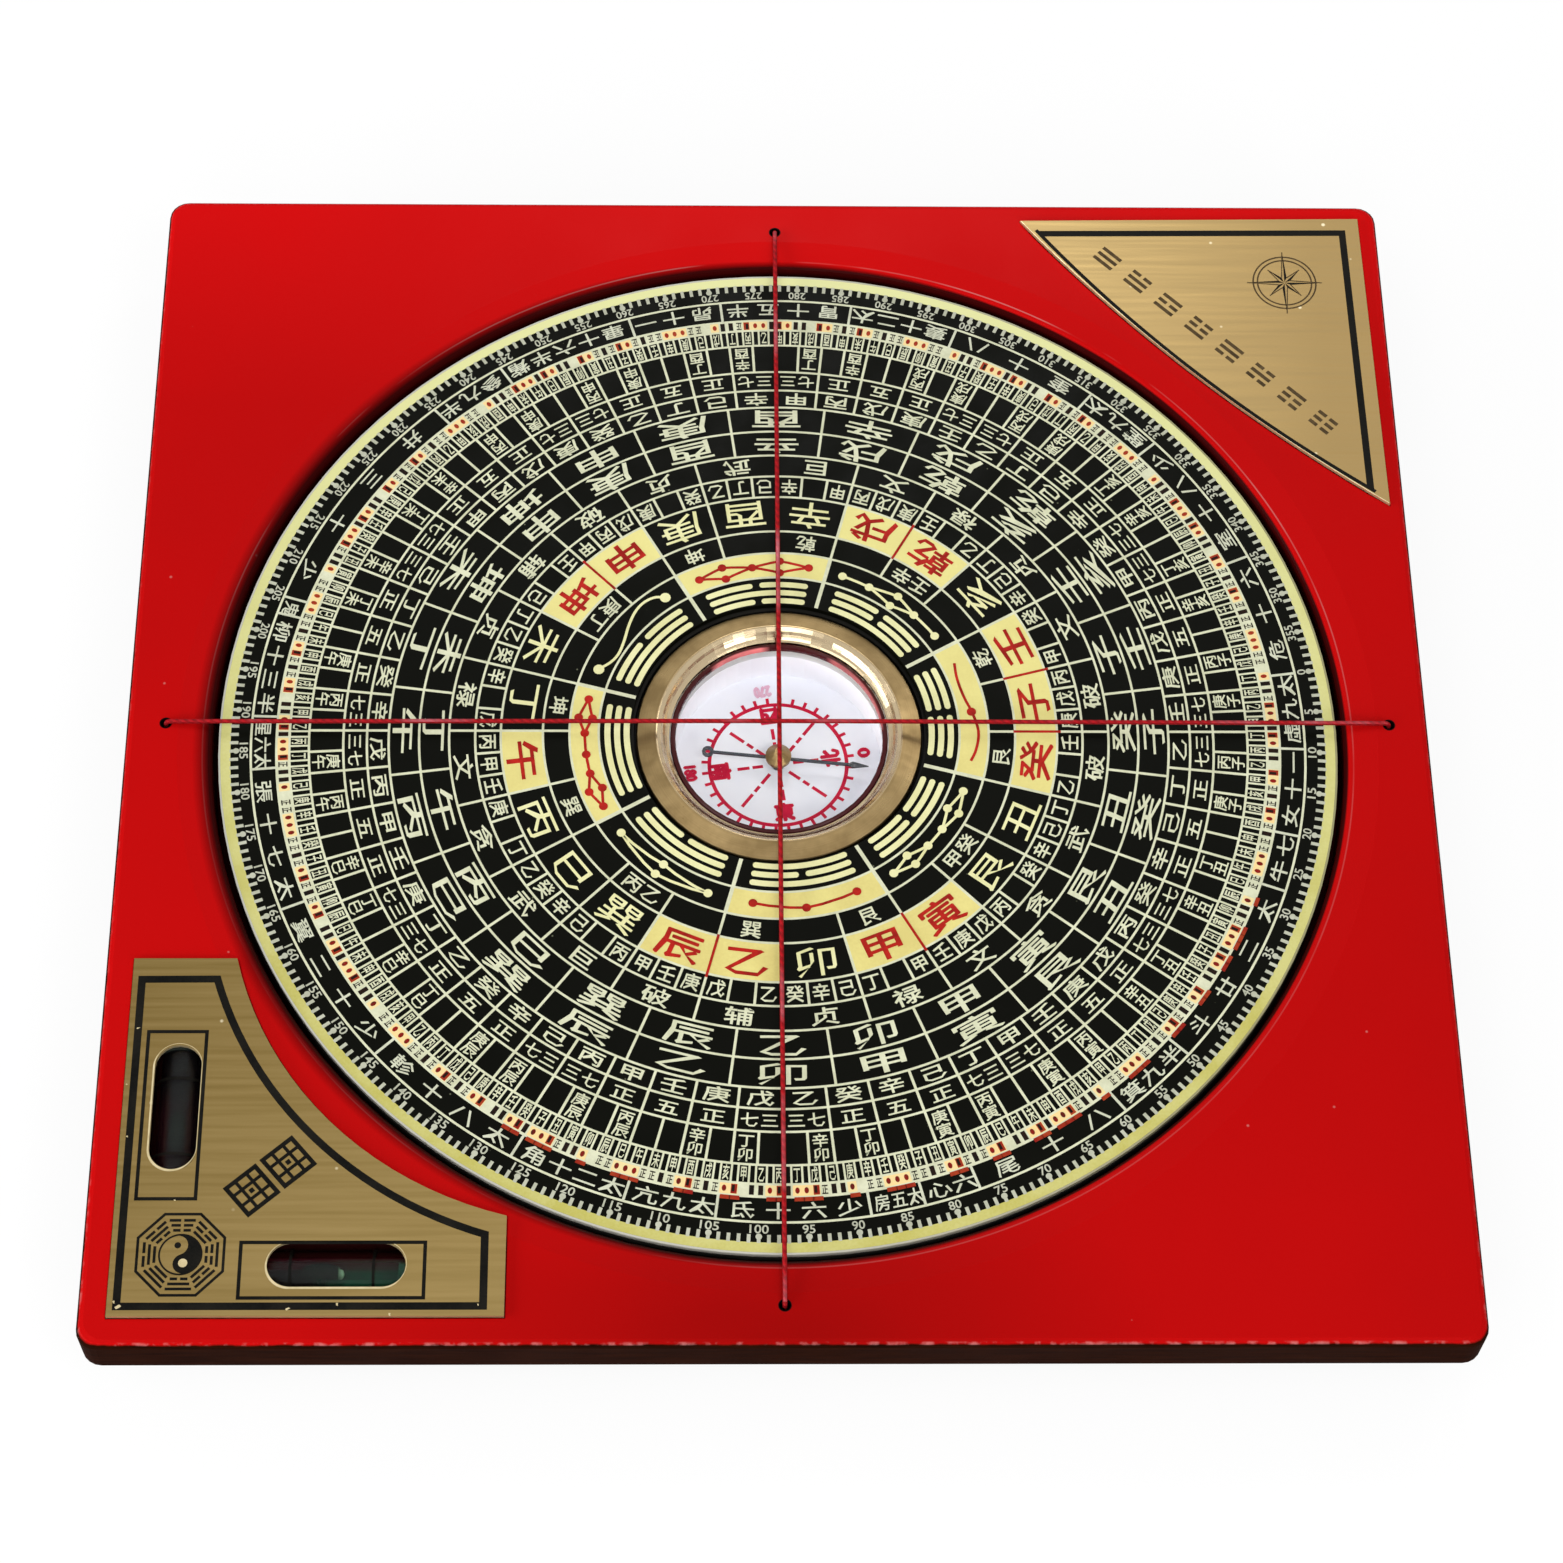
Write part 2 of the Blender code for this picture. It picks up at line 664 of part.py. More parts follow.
def cap_profile():
    """Turned brass cap: flange, conical crown, shank through the blade's eye, blind bore."""
    return [(needle_bore, shank_bottom), (needle_shank_radius, shank_bottom),
            (needle_shank_radius, cap_flange_bottom), (needle_cap_radius, cap_flange_bottom),
            (needle_cap_radius, cap_flange_top), (needle_cap_top_radius, cap_top), (0, cap_top),
            (0, cap_bore_top), (needle_bore, cap_bore_top)]


def jewel_profile():
    """Bearing jewel with a conical dimple that sits on the pin's tip."""
    return [(0, jewel_bottom + jewel_dimple_depth), (jewel_dimple_radius, jewel_bottom),
            (jewel_radius, jewel_bottom), (jewel_radius, jewel_top), (0, jewel_top)]


def make_needle(parent):
    axis = axis_empty("needle_axis", (0, 0, blade_bottom - dial_plate_bottom), parent)
    turn = Matrix.Rotation(math.radians(needle_turn_degrees), 4, "Z")
    blade_mesh = prism("needle_blade", blade_outline(), blade_bottom, blade_top)
    blade_mesh.transform(turn)
    blade = link("needle_blade", blade_mesh, blue_steel, axis)
    low, high = blade_bottom - cut_overrun, blade_top + cut_overrun
    eye = turned("eye", cylinder_profile(needle_eye_bore, low, high), small_steps, closed=False)
    cut(blade, eye, "eye_cutter")
    hole = turned("tail", cylinder_profile(needle_tail_ring_bore, low, high), small_steps // 2, closed=False)
    hole.transform(turn @ Matrix.Translation((-needle_tail_reach, 0, 0)))
    cut(blade, hole, "tail_hole_cutter")
    link("needle_cap", turned("needle_cap", cap_profile(), small_steps), bright_brass, axis)
    jewel = turned("needle_jewel", jewel_profile(), small_steps // 2, closed=False)
    link("needle_jewel", jewel, jewel_red, axis)


# Sighting threads


def thread_route(side_offset, middle_height, along_y):
    """Up from one knot, over the dial and down to the other, with small bends at the holes."""
    knot_low = knot_bore_top - knot_length
    surface = board_top + thread_radius + thread_lift
    heights = [knot_low, knot_low + knot_length / 3, knot_low + knot_length * 2 / 3, knot_bore_top,
               (knot_bore_top + surface) / 2]
    half = [(-thread_reach, height) for height in heights]
    bend_centre = (-thread_reach + thread_bend_radius, surface - thread_bend_radius)
    half += arc(bend_centre, thread_bend_radius, 180, 90, round_steps)
    start = half[-1]
    for share in thread_sag_shares:
        half.append((start[0] * (1 - share), start[1] + (middle_height - start[1]) * share))
    route = half + [(0, middle_height)] + [(-run, height) for run, height in reversed(half)]
    if along_y:
        return [(side_offset, run, height) for run, height in route]
    return [(run, side_offset, height) for run, height in route]


def make_thread(name, route):
    """A round thread whose ends swell into the knots below the board."""
    curve = bpy.data.curves.new(name, "CURVE")
    curve.dimensions = "3D"
    curve.bevel_depth = thread_radius
    curve.bevel_resolution = 2
    curve.use_fill_caps = True
    spline = curve.splines.new("POLY")
    spline.points.add(len(route) - 1)
    knot_share = knot_radius / thread_radius
    for index, (point, place) in enumerate(zip(spline.points, route)):
        from_end = min(index, len(route) - 1 - index)
        point.co = (*place, 1)
        point.radius = knot_share if from_end in (1, 2) else 1
        if from_end == 0:
            point.radius = knot_share * knot_tip_share
    curve.materials.append(thread_red)
    thread = bpy.data.objects.new(name, curve)
    bpy.context.scene.collection.objects.link(thread)


def make_threads():
    resting = board_top + thread_radius + thread_lift
    low_middle = resting - thread_dip
    high_middle = low_middle + 2 * thread_radius + thread_cross_gap
    make_thread("thread_east_west", thread_route(cross_thread_offset, high_middle, False))
    make_thread("thread_north_south", thread_route(0, low_middle, True))


clear_scene()
lacquer = finish("red_lacquer", (0.62, 0.01, 0.012), 0.25)
bakelite = finish("black_bakelite", (0.012, 0.012, 0.01), 0.35)
dial_print = finish("dial_print", (0.02, 0.02, 0.015), 0.4)
plate_brass = finish("brushed_gold", (0.45, 0.35, 0.18), 0.38, 0.9)
bright_brass = finish("bright_brass", (0.6, 0.43, 0.18), 0.22, 1.0)
ring_red = finish("dark_red_ring", (0.12, 0.008, 0.008), 0.3)
pane_glass = finish("clear_glass", (1.0, 1.0, 1.0), 0.02, 0.0, 1.0)
cup_white = finish("white_cup", (0.8, 0.82, 0.9), 0.4)
card_white = finish("white_card", (0.85, 0.86, 0.92), 0.5)
steel = finish("pin_steel", (0.6, 0.6, 0.6), 0.2, 1.0)
blue_steel = finish("black_steel", (0.02, 0.022, 0.03), 0.3, 0.8)
jewel_red = finish("jewel_red", (0.5, 0.02, 0.05), 0.1)
clear_acrylic = finish("clear_acrylic", (0.95, 1.0, 0.97), 0.05, 0.0, 1.0)
plug_white = finish("white_plug", (0.7, 0.7, 0.68), 0.5)
level_liquid = finish("green_liquid", (0.1, 0.5, 0.2), 0.02, 0.0, 1.0)
air = finish("air_bubble", (1.0, 1.0, 1.0), 0.02, 0.0, 1.0)
thread_red = finish("red_thread", (0.55, 0.01, 0.02), 0.6)

make_board()
make_plates()
make_levels()
make_needle(make_dial())
make_threads()
bpy.context.view_layer.update()
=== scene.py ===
# Feng shui compass with a turning ring dial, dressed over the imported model.
import math

import bmesh
import bpy
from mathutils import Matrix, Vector


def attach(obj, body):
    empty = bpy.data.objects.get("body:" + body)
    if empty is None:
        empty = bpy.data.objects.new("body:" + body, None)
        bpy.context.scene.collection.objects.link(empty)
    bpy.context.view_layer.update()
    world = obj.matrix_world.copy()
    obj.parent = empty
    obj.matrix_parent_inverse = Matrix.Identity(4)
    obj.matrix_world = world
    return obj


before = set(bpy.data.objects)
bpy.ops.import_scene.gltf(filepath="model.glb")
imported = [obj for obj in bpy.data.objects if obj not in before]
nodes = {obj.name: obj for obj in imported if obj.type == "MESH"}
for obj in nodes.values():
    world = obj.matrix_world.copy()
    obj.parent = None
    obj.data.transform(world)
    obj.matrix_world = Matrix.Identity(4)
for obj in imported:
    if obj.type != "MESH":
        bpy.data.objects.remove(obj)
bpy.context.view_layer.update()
mm = 0.001
print("frame loaded:", len(nodes), "pieces")


# node helpers: they build in the tree that lies on the bench

bench = {}


def plug(socket, value):
    if isinstance(value, bpy.types.NodeSocket):
        bench["tree"].links.new(value, socket)
    elif socket.type == "RGBA" and len(value) == 3:
        socket.default_value = (*value, 1)
    else:
        socket.default_value = value


def addNode(kind, inputs=None, **settings):
    made = bench["tree"].nodes.new("ShaderNode" + kind)
    for name, value in settings.items():
        setattr(made, name, value)
    for name, value in (inputs or {}).items():
        plug(made.inputs[name], value)
    return made


def calc(operation, first, second=0.0, clamp=False):
    return addNode("Math", {0: first, 1: second}, operation=operation, use_clamp=clamp).outputs[0]


def plus(first, second, clamp=False):
    return calc("ADD", first, second, clamp)


def minus(first, second):
    return calc("SUBTRACT", first, second)


def times(value, *factors):
    for factor in factors:
        value = calc("MULTIPLY", value, factor)
    return value


def span(x, y):
    # length of a line that runs x one way and y the other
    return calc("SQRT", plus(times(x, x), times(y, y)))


def fade(value, low, high, toLow=0.0, toHigh=1.0):
    made = addNode("MapRange", {"Value": value, "From Min": low, "From Max": high,
                                "To Min": toLow, "To Max": toHigh})
    return made.outputs["Result"]


def band(value, low, high, soft):
    return times(fade(value, low - soft, low), fade(value, high + soft, high))


def mixColour(factor, first, second):
    return addNode("Mix", {0: factor, 6: first, 7: second}, data_type="RGBA").outputs[2]


def objectCoords(stretch=None):
    place = addNode("TexCoord").outputs["Object"]
    if stretch:
        place = addNode("VectorMath", {0: place, 1: stretch}, operation="MULTIPLY").outputs[0]
    return place


def axesOf(vector):
    return addNode("SeparateXYZ", {0: vector}).outputs


def upward():
    # one where the surface faces straight up
    return axesOf(addNode("NewGeometry").outputs["Normal"])["Z"]


def noise(place, scale, detail=3.0):
    return addNode("TexNoise", {"Vector": place, "Scale": scale, "Detail": detail}).outputs["Fac"]


def specks(place, scale, size, share):
    # small round specks, one at most in each cell, with most cells left empty
    cells = addNode("TexVoronoi", {"Vector": place, "Scale": scale}).outputs
    pick = addNode("SeparateColor", {"Color": cells["Color"]}).outputs["Red"]
    near = fade(cells["Distance"], size * 0.5, size, 1.0, 0.0)
    return times(near, fade(pick, 0.72, 0.8), share)


def bumpFrom(height, depth, strength=0.5):
    return addNode("Bump", {"Height": height, "Distance": depth, "Strength": strength}).outputs["Normal"]


def seenRays():
    # one for what the camera sees, also in a mirror or through glass
    path = addNode("LightPath").outputs
    seen = plus(path["Is Camera Ray"], path["Is Glossy Ray"])
    return plus(seen, path["Is Transmission Ray"], clamp=True)


def startFinish(name, **look):
    # puts a new material on the bench and gives its object coordinates
    material = bpy.data.materials.new(name)
    material.use_nodes = True
    shader = material.node_tree.nodes["Principled BSDF"]
    bench.update(material=material, tree=material.node_tree, shader=shader)
    sockets = {"roughness": "Roughness", "metal": "Metallic", "shine": "Specular IOR Level",
               "clear": "Transmission Weight", "bend": "IOR", "tint": "Specular Tint"}
    for word, value in look.items():
        plug(shader.inputs[sockets[word]], value)
    return objectCoords()


def endFinish(colour, roughness=None, normal=None):
    for name, value in (("Base Color", colour), ("Roughness", roughness), ("Normal", normal)):
        if value is not None:
            plug(bench["shader"].inputs[name], value)
    return bench["material"]


def mixOver(share, other):
    mix = addNode("MixShader", {0: share, 1: bench["shader"].outputs[0], 2: other.outputs[0]})
    plug(bench["tree"].nodes["Material Output"].inputs["Surface"], mix.outputs[0])


def dress(material, *names):
    for name in names:
        slots = nodes[name].material_slots
        for slot in slots:
            slot.material = material
        if not slots:
            nodes[name].data.materials.append(material)


# camera, world, floor and lamps

studio = {
    "cameraPlace": (-0.009812, -0.240737, 0.442887),
    "cameraAim": (0.0001987, -0.0079743, 0.016),
    "cameraRoll": 2.2413,  # degrees
    "lens": 87.232, "sensor": 36, "clipStart": 0.01, "clipEnd": 20,
    "worldLight": 0.40,  # what the world gives to matt surfaces
    "softboxes": {  # place, width, height and power
        "leftLow": ((-0.93, -0.30, 0.26), 1.05, 0.30, 8.5),
        "leftHigh": ((-0.45, -0.20, 0.87), 0.40, 0.40, 1.1),
        "front": ((-0.15, -0.75, 0.62), 0.40, 0.40, 1.7),
        "frontHigh": ((0.38, -0.42, 0.84), 0.36, 0.36, 2.2),
        "rightLow": ((0.50, -0.77, 0.40), 0.32, 0.30, 1.9),
        "back": ((0.05, 0.86, 0.92), 0.26, 0.46, 2.2),
        "right": ((0.48, 0.49, 0.78), 0.20, 0.20, 0.6),
    },
    "floorWhite": (0.92, 0.92, 0.92), "floorGlow": 0.88,
    "floorHeight": -0.00002, "floorCorners": ((-3, -3), (3, -3), (3, 3), (-3, 3)),
}


def addObject(name, data):
    made = bpy.data.objects.new(name, data)
    bpy.context.scene.collection.objects.link(made)
    return made


def makeCamera():
    camera = addObject("camera", bpy.data.cameras.new("camera"))
    camera.location = studio["cameraPlace"]
    sight = Vector(studio["cameraAim"]) - camera.location
    camera.rotation_euler = sight.to_track_quat("-Z", "Y").to_euler()
    camera.rotation_euler.rotate_axis("Z", math.radians(studio["cameraRoll"]))
    camera.data.lens = studio["lens"]
    camera.data.sensor_width = studio["sensor"]
    camera.data.clip_start = studio["clipStart"]
    camera.data.clip_end = studio["clipEnd"]
    bpy.context.scene.camera = camera


def makeSoftbox(name, place, width, height, power):
    lamp = bpy.data.lights.new(name, "AREA")
    lamp.shape = "RECTANGLE"
    lamp.size = width
    lamp.size_y = height
    lamp.energy = power
    softbox = addObject(name, lamp)
    softbox.location = place
    softbox.rotation_euler = (-softbox.location).to_track_quat("-Z", "Y").to_euler()


def makeWorld():
    world = bpy.data.worlds.new("studioWorld")
    bpy.context.scene.world = world
    world.use_nodes = True
    bench["tree"] = world.node_tree
    sky = world.node_tree.nodes["Background"]
    plug(sky.inputs["Color"], (1, 1, 1))
    plug(sky.inputs["Strength"], fade(seenRays(), 0, 1, studio["worldLight"], 1))


def makeFloor():
    place = startFinish("paleFloor", roughness=0.9, shine=0.0)
    material = endFinish(mixColour(noise(place, 9), studio["floorWhite"], (1, 1, 1)))
    mixOver(times(seenRays(), studio["floorGlow"]), addNode("Emission", {"Color": (1, 1, 1), "Strength": 1}))
    mesh = bpy.data.meshes.new("floor")
    corners = [(x, y, studio["floorHeight"]) for x, y in studio["floorCorners"]]
    mesh.from_pydata(corners, [], [(0, 1, 2, 3)])
    mesh.materials.append(material)
    addObject("floor", mesh)


makeCamera()
makeWorld()
makeFloor()
for softboxName, softboxLook in studio["softboxes"].items():
    makeSoftbox(softboxName + "Softbox", *softboxLook)
bpy.context.scene.view_settings.view_transform = "Standard"
print("studio ready")


# lacquered board

board = {
    "lightRed": (0.590, 0.0034, 0.0040), "deepRed": (0.270, 0.0024, 0.0022), "gleam": (1.0, 0.4, 0.4),
    "sideBrown": (0.0085, 0.0018, 0.0004), "sideGrain": (0.018, 0.0040, 0.0010),
    "wornAndHighlightRed": (0.56, 0.20, 0.19), "dust": (0.62, 0.30, 0.27), "wellShadeRed": (0.030, 0.0009, 0.0010),
    "grooveShadeBrown": (0.022, 0.0030, 0.0030), "holeShade": (0.006, 0.003, 0.003),
    "roughness": 0.24, "shine": 0.03,
    # where a look starts and where it is full, in metres, and then its share at the two places
    "outside": (0.0795, 0.0805),
    "farPaintedLight": (0.083, 0.050, 0.04, 0.42),
    "nearShadeMiddle": (0.006, 0.084), "nearPaintedShade": (0.004, 0.026, 0.5, 0.0),
    "edgeReach": (0.0837, 0.0839), "edgeHeight": (0.0156, 0.0157), "edgeNear": (-0.06, -0.083, 0.1, 0.55),
    "crestHighlightRadius": (0.07430, 0.07442, 0.00006), "crestHighlightFar": (0.0, 0.045, 0.3, 1.0),
    "wellShadeHeight": (0.0153, 0.0130), "wellShadeOuter": (0.03, -0.06, 0.0738, 0.0757), "wellShadeFull": 0.0736,
    "grooveHeight": (0.01592, 0.0156), "grooveRadius": (0.0779, 0.0782),
    "sideTop": (0.01582, 0.01562), "sideRagged": 0.00028, "foot": (0.0062, 0.0058),
    "holeReach": 0.0792, "holeRadius": (0.00086, 0.00078), "crossOffset": 0.0005,
}


def lacquerFinish():
    roughness = board["roughness"]
    place = startFinish("redLacquer", roughness=roughness, shine=board["shine"], tint=board["gleam"])
    axes = axesOf(place)
    absX, absY = calc("ABSOLUTE", axes["X"]), calc("ABSOLUTE", axes["Y"])
    reach = calc("MAXIMUM", absX, absY)
    radius = span(axes["X"], axes["Y"])
    outer = fade(reach, *board["outside"])
    inner = minus(1, outer)
    # painted light along the far side, painted shade deepest at the middle of the near one
    nearX, nearY = (plus(axes[axis], shift) for axis, shift in zip("XY", board["nearShadeMiddle"]))
    near = fade(span(times(nearX, 0.5), nearY), *board["nearPaintedShade"])
    tone = plus(fade(axes["Y"], *board["farPaintedLight"]), near)
    tone = plus(tone, fade(noise(place, 14, 4), 0.3, 0.7, -0.12, 0.12), clamp=True)
    red = mixColour(tone, board["lightRed"], board["deepRed"])
    red = mixColour(specks(place, 190, 0.045, 0.4), red, board["dust"])
    # painted highlight: thin bright line on the crest of the lip round the dial, fuller on the far side
    crestHighlight = times(band(radius, *board["crestHighlightRadius"]), fade(noise(place, 34, 4), 0.42, 0.54, 0.0, 0.6),
                  fade(axes["Y"], *board["crestHighlightFar"]))
    red = mixColour(crestHighlight, red, board["wornAndHighlightRed"])
    # painted shade: the well darkens downwards, its painted shade reaches further out at the left, and the
    # groove is painted dark
    wellShade = calc("MAXIMUM", times(fade(axes["Z"], *board["wellShadeHeight"]), inner),
                fade(radius, fade(axes["X"], *board["wellShadeOuter"]), board["wellShadeFull"]))
    red = mixColour(wellShade, red, board["wellShadeRed"])
    grooveShade = times(fade(axes["Z"], *board["grooveHeight"]), fade(radius, *board["grooveRadius"]), inner)
    red = mixColour(grooveShade, red, board["grooveShadeBrown"])
    # brown sides and underside
    height = plus(axes["Z"], times(minus(noise(place, 420, 4), 0.5), board["sideRagged"]))
    side = calc("MAXIMUM", times(fade(height, *board["sideTop"]), outer), fade(axes["Z"], *board["foot"]))
    grain = noise(objectCoords((1, 1, 12)), 120, 5)
    brown = mixColour(fade(grain, 0.35, 0.7), board["sideBrown"], board["sideGrain"])
    colour = mixColour(side, red, brown)
    # worn line along the outer top edge, most of it on the near side
    edge = times(fade(reach, *board["edgeReach"]), fade(axes["Z"], *board["edgeHeight"]),
                 fade(noise(place, 620, 6), 0.49, 0.64), fade(axes["Y"], *board["edgeNear"]))
    colour = mixColour(edge, colour, board["wornAndHighlightRed"])
    # painted shade in the mouths of the four thread holes
    east = span(minus(absX, board["holeReach"]), minus(axes["Y"], board["crossOffset"]))
    north = span(minus(absY, board["holeReach"]), axes["X"])
    paintedHoleShade = fade(calc("MINIMUM", east, north), *board["holeRadius"])
    colour = mixColour(paintedHoleShade, colour, board["holeShade"])
    rough = fade(noise(place, 55, 5), 0.35, 0.65, roughness - 0.05, roughness + 0.08)
    waves = plus(noise(place, 45, 2), times(noise(place, 900, 2), 0.12))
    return endFinish(colour, plus(rough, times(side, 0.6)), bumpFrom(waves, 0.00012, 0.6))


dress(lacquerFinish(), "base_board")
print("board lacquered")


# metal, glass and small parts of the capsule

brass = {"light": (0.37, 0.262, 0.120), "deep": (0.22, 0.152, 0.066), "stain": (0.17, 0.10, 0.040),
         "polished": (0.66, 0.54, 0.36), "roughness": 0.30, "turnPitch": 5200,
         "mouthOutside": (0.0161, 0.0158), "mouthInside": (0.0140, 0.0142)}


def brassFinish():
    place = startFinish("turnedBrass", metal=1.0, roughness=brass["roughness"])
    axes = axesOf(place)
    radius = span(axes["X"], axes["Y"])
    turns = {"X": times(radius, brass["turnPitch"]), "Y": times(axes["Z"], brass["turnPitch"])}
    lines = noise(addNode("CombineXYZ", turns).outputs[0], 1.0, 2)
    patina = noise(place, 260, 5)
    colour = mixColour(fade(patina, 0.35, 0.65), brass["light"], brass["deep"])
    colour = mixColour(fade(lines, 0.3, 0.7, 0.0, 0.3), colour, brass["stain"])
    colour = mixColour(specks(place, 900, 0.12, 0.6), colour, brass["stain"])
    # the mouth of the bezel is polished, the slope outside it is dull
    mouth = times(fade(radius, *brass["mouthOutside"]), fade(radius, *brass["mouthInside"]))
    colour = mixColour(times(mouth, 0.6), colour, brass["polished"])
    rough = fade(patina, 0.3, 0.7, brass["roughness"] - 0.05, brass["roughness"] + 0.08)
    return endFinish(colour, minus(rough, times(mouth, 0.15)), bumpFrom(lines, 0.00001))


redRing = {"dark": (0.050, 0.0030, 0.0040), "pink": (0.88, 0.22, 0.22), "rim": (0.01374, 0.01356),
           # where painted light shows through the ring, in radians, and how much
           "patches": ((1.74, 2.20, 1.0), (0.15, 1.0, 0.5)), "patchSoft": 0.09}


def ringFinish():
    # dark red translucent ring; painted light shows pink through its inner edge in two places
    place = startFinish("darkRedRing", roughness=0.2, shine=0.2)
    axes = axesOf(place)
    angle = calc("ARCTAN2", axes["Y"], axes["X"])
    lit = 0.0
    for start, end, share in redRing["patches"]:
        lit = plus(lit, times(band(angle, start, end, redRing["patchSoft"]), share))
    rim = fade(span(axes["X"], axes["Y"]), *redRing["rim"])
    paintedGlow = times(lit, rim, fade(noise(place, 300, 2), 0.3, 0.5, 0.7, 1.0))
    colour = mixColour(paintedGlow, redRing["dark"], redRing["pink"])
    return endFinish(colour, normal=bumpFrom(noise(place, 1500, 2), 0.00002, 0.4))


def glassFinish(name, tint, bend):
    # clear glass; lamp light passes straight through
    place = startFinish(name, clear=1.0, bend=bend, roughness=0.02)
    material = endFinish(tint, fade(noise(place, 500, 3), 0.45, 0.75, 0.0, 0.05))
    path = addNode("LightPath").outputs
    lamps = calc("MAXIMUM", path["Is Shadow Ray"], path["Is Diffuse Ray"])
    mixOver(lamps, addNode("BsdfTransparent", {"Color": tint}))
    return material


def twoToneFinish(name, first, second, scale, roughness, **look):
    # plain moulded or painted surface with a little mottling and a fine skin
    place = startFinish(name, roughness=roughness, **look)
    mottle = noise(place, scale, 5)
    return endFinish(mixColour(fade(mottle, 0.35, 0.65), first, second),
                     fade(mottle, 0.3, 0.7, roughness * 0.85, min(1, roughness * 1.25)),
                     bumpFrom(noise(place, scale * 6, 3), 0.00001))


plainParts = {  # node, two colours, scale of the mottling, roughness, and what else the surface has
    "whiteCup": ("compass_cup", (0.96, 0.96, 0.99), (0.92, 0.93, 0.98), 120, 0.35, {"shine": 0.3}),
    "whiteCard": ("compass_card", (0.94, 0.95, 0.99), (0.88, 0.90, 0.97), 90, 0.55, {"shine": 0.2}),
    "pinSteel": ("pivot_pin", (0.62, 0.62, 0.62), (0.45, 0.45, 0.46), 2500, 0.22, {"metal": 1.0}),
    "blackSteel": ("needle_blade", (0.006, 0.007, 0.010), (0.012, 0.016, 0.026), 900, 0.36, {"shine": 0.4}),
    "redJewel": ("needle_jewel", (0.42, 0.01, 0.03), (0.6, 0.03, 0.06), 1500, 0.1, {"shine": 0.8}),
    "mouldedBlack": ("dial_plate", (0.010, 0.010, 0.009), (0.020, 0.019, 0.016), 90, 0.4, {"shine": 0.05}),
}
dress(brassFinish(), "bezel_ring", "needle_cap")
dress(ringFinish(), "glass_ring")
dress(glassFinish("clearGlass", (1, 1, 1), 1.02), "compass_glass")
for plainName, (plainNode, *plainLook, plainExtra) in plainParts.items():
    dress(twoToneFinish(plainName, *plainLook, **plainExtra), plainNode)
print("capsule dressed")


# print: solid shapes in millimetres, gathered into one sheet for each piece


def newSheet(low):
    return {"low": low, "points": [], "faces": []}


def addStrip(sheet, left, right, high, closed=False):
    low, base, count = sheet["low"], len(sheet["points"]), len(left)
    for (ax, ay), (bx, by) in zip(left, right):
        sheet["points"] += [(ax, ay, low), (ax, ay, high), (bx, by, low), (bx, by, high)]
    for n in range(count if closed else count - 1):
        a, b = base + 4 * n, base + 4 * ((n + 1) % count)
        sheet["faces"] += [(a + 1, b + 1, b + 3, a + 3), (a, a + 2, b + 2, b),
                           (a, b, b + 1, a + 1), (a + 2, a + 3, b + 3, b + 2)]
    if not closed:
        last = base + 4 * (count - 1)
        sheet["faces"] += [(base, base + 1, base + 3, base + 2), (last, last + 2, last + 3, last + 1)]


def addPlate(sheet, outline, high):
    base, count = len(sheet["points"]), len(outline)
    sheet["points"] += [(x, y, z) for z in (sheet["low"], high) for x, y in outline]
    sheet["faces"].append(tuple(range(base + count, base + 2 * count)))
    sheet["faces"].append(tuple(range(base + count - 1, base - 1, -1)))
    for n in range(count):
        after = (n + 1) % count
        sheet["faces"].append((base + n, base + after, base + count + after, base + count + n))


def polar(radius, degrees):
    angle = math.radians(degrees)
    return radius * math.cos(angle), radius * math.sin(angle)


def moved(centre, points):
    return [(centre[0] + x, centre[1] + y) for x, y in points]


def turned(centre, turn, points):
    across, up = Vector(polar(1, turn)), Vector(polar(1, turn + 90))
    return [Vector(centre) + across * x + up * y for x, y in points]


def ringPoints(radius, count, first=0):
    return [polar(radius, first + 360 * n / count) for n in range(count)]


def addArcBand(sheet, inner, outer, start, end, high, step=1.5):
    closed = abs(end - start) >= 360
    count = max(1, math.ceil(abs(end - start) / step))
    angles = [start + (end - start) * n / count for n in range(count if closed else count + 1)]
    addStrip(sheet, [polar(inner, a) for a in angles], [polar(outer, a) for a in angles], high, closed)


def addRing(sheet, radius, width, high):
    addArcBand(sheet, radius - width / 2, radius + width / 2, 0, 360, high)


def addHoop(sheet, centre, inner, outer, high):
    # small ring away from the middle
    addStrip(sheet, *(moved(centre, ringPoints(radius, 60)) for radius in (inner, outer)), high, closed=True)


def addSpoke(sheet, angle, inner, outer, width, high):
    ends = [polar(inner, angle), polar(outer, angle)]
    addStrip(sheet, *(moved(polar(side, angle + 90), ends) for side in (width / 2, -width / 2)), high)


def addDisc(sheet, centre, radius, high):
    addPlate(sheet, moved(centre, ringPoints(radius, 14)), high)


def addOval(sheet, radius, angle, halfWide, halfTall, high):
    across, out = Vector(polar(halfWide, angle + 90)), Vector(polar(halfTall, angle))
    turns = (n * math.pi / 5 for n in range(10))
    middle = Vector(polar(radius, angle))
    addPlate(sheet, [middle + across * math.cos(turn) + out * math.sin(turn) for turn in turns], high)


def addStroke(sheet, path, width, high):
    left, right = [], []
    for n, (x, y) in enumerate(path):
        before, after = path[max(0, n - 1)], path[min(len(path) - 1, n + 1)]
        along = Vector((after[0] - before[0], after[1] - before[1])).normalized() * (width / 2)
        left.append((x - along.y, y + along.x))
        right.append((x + along.y, y - along.x))
    addStrip(sheet, left, right, high)


glyphShapes = {}


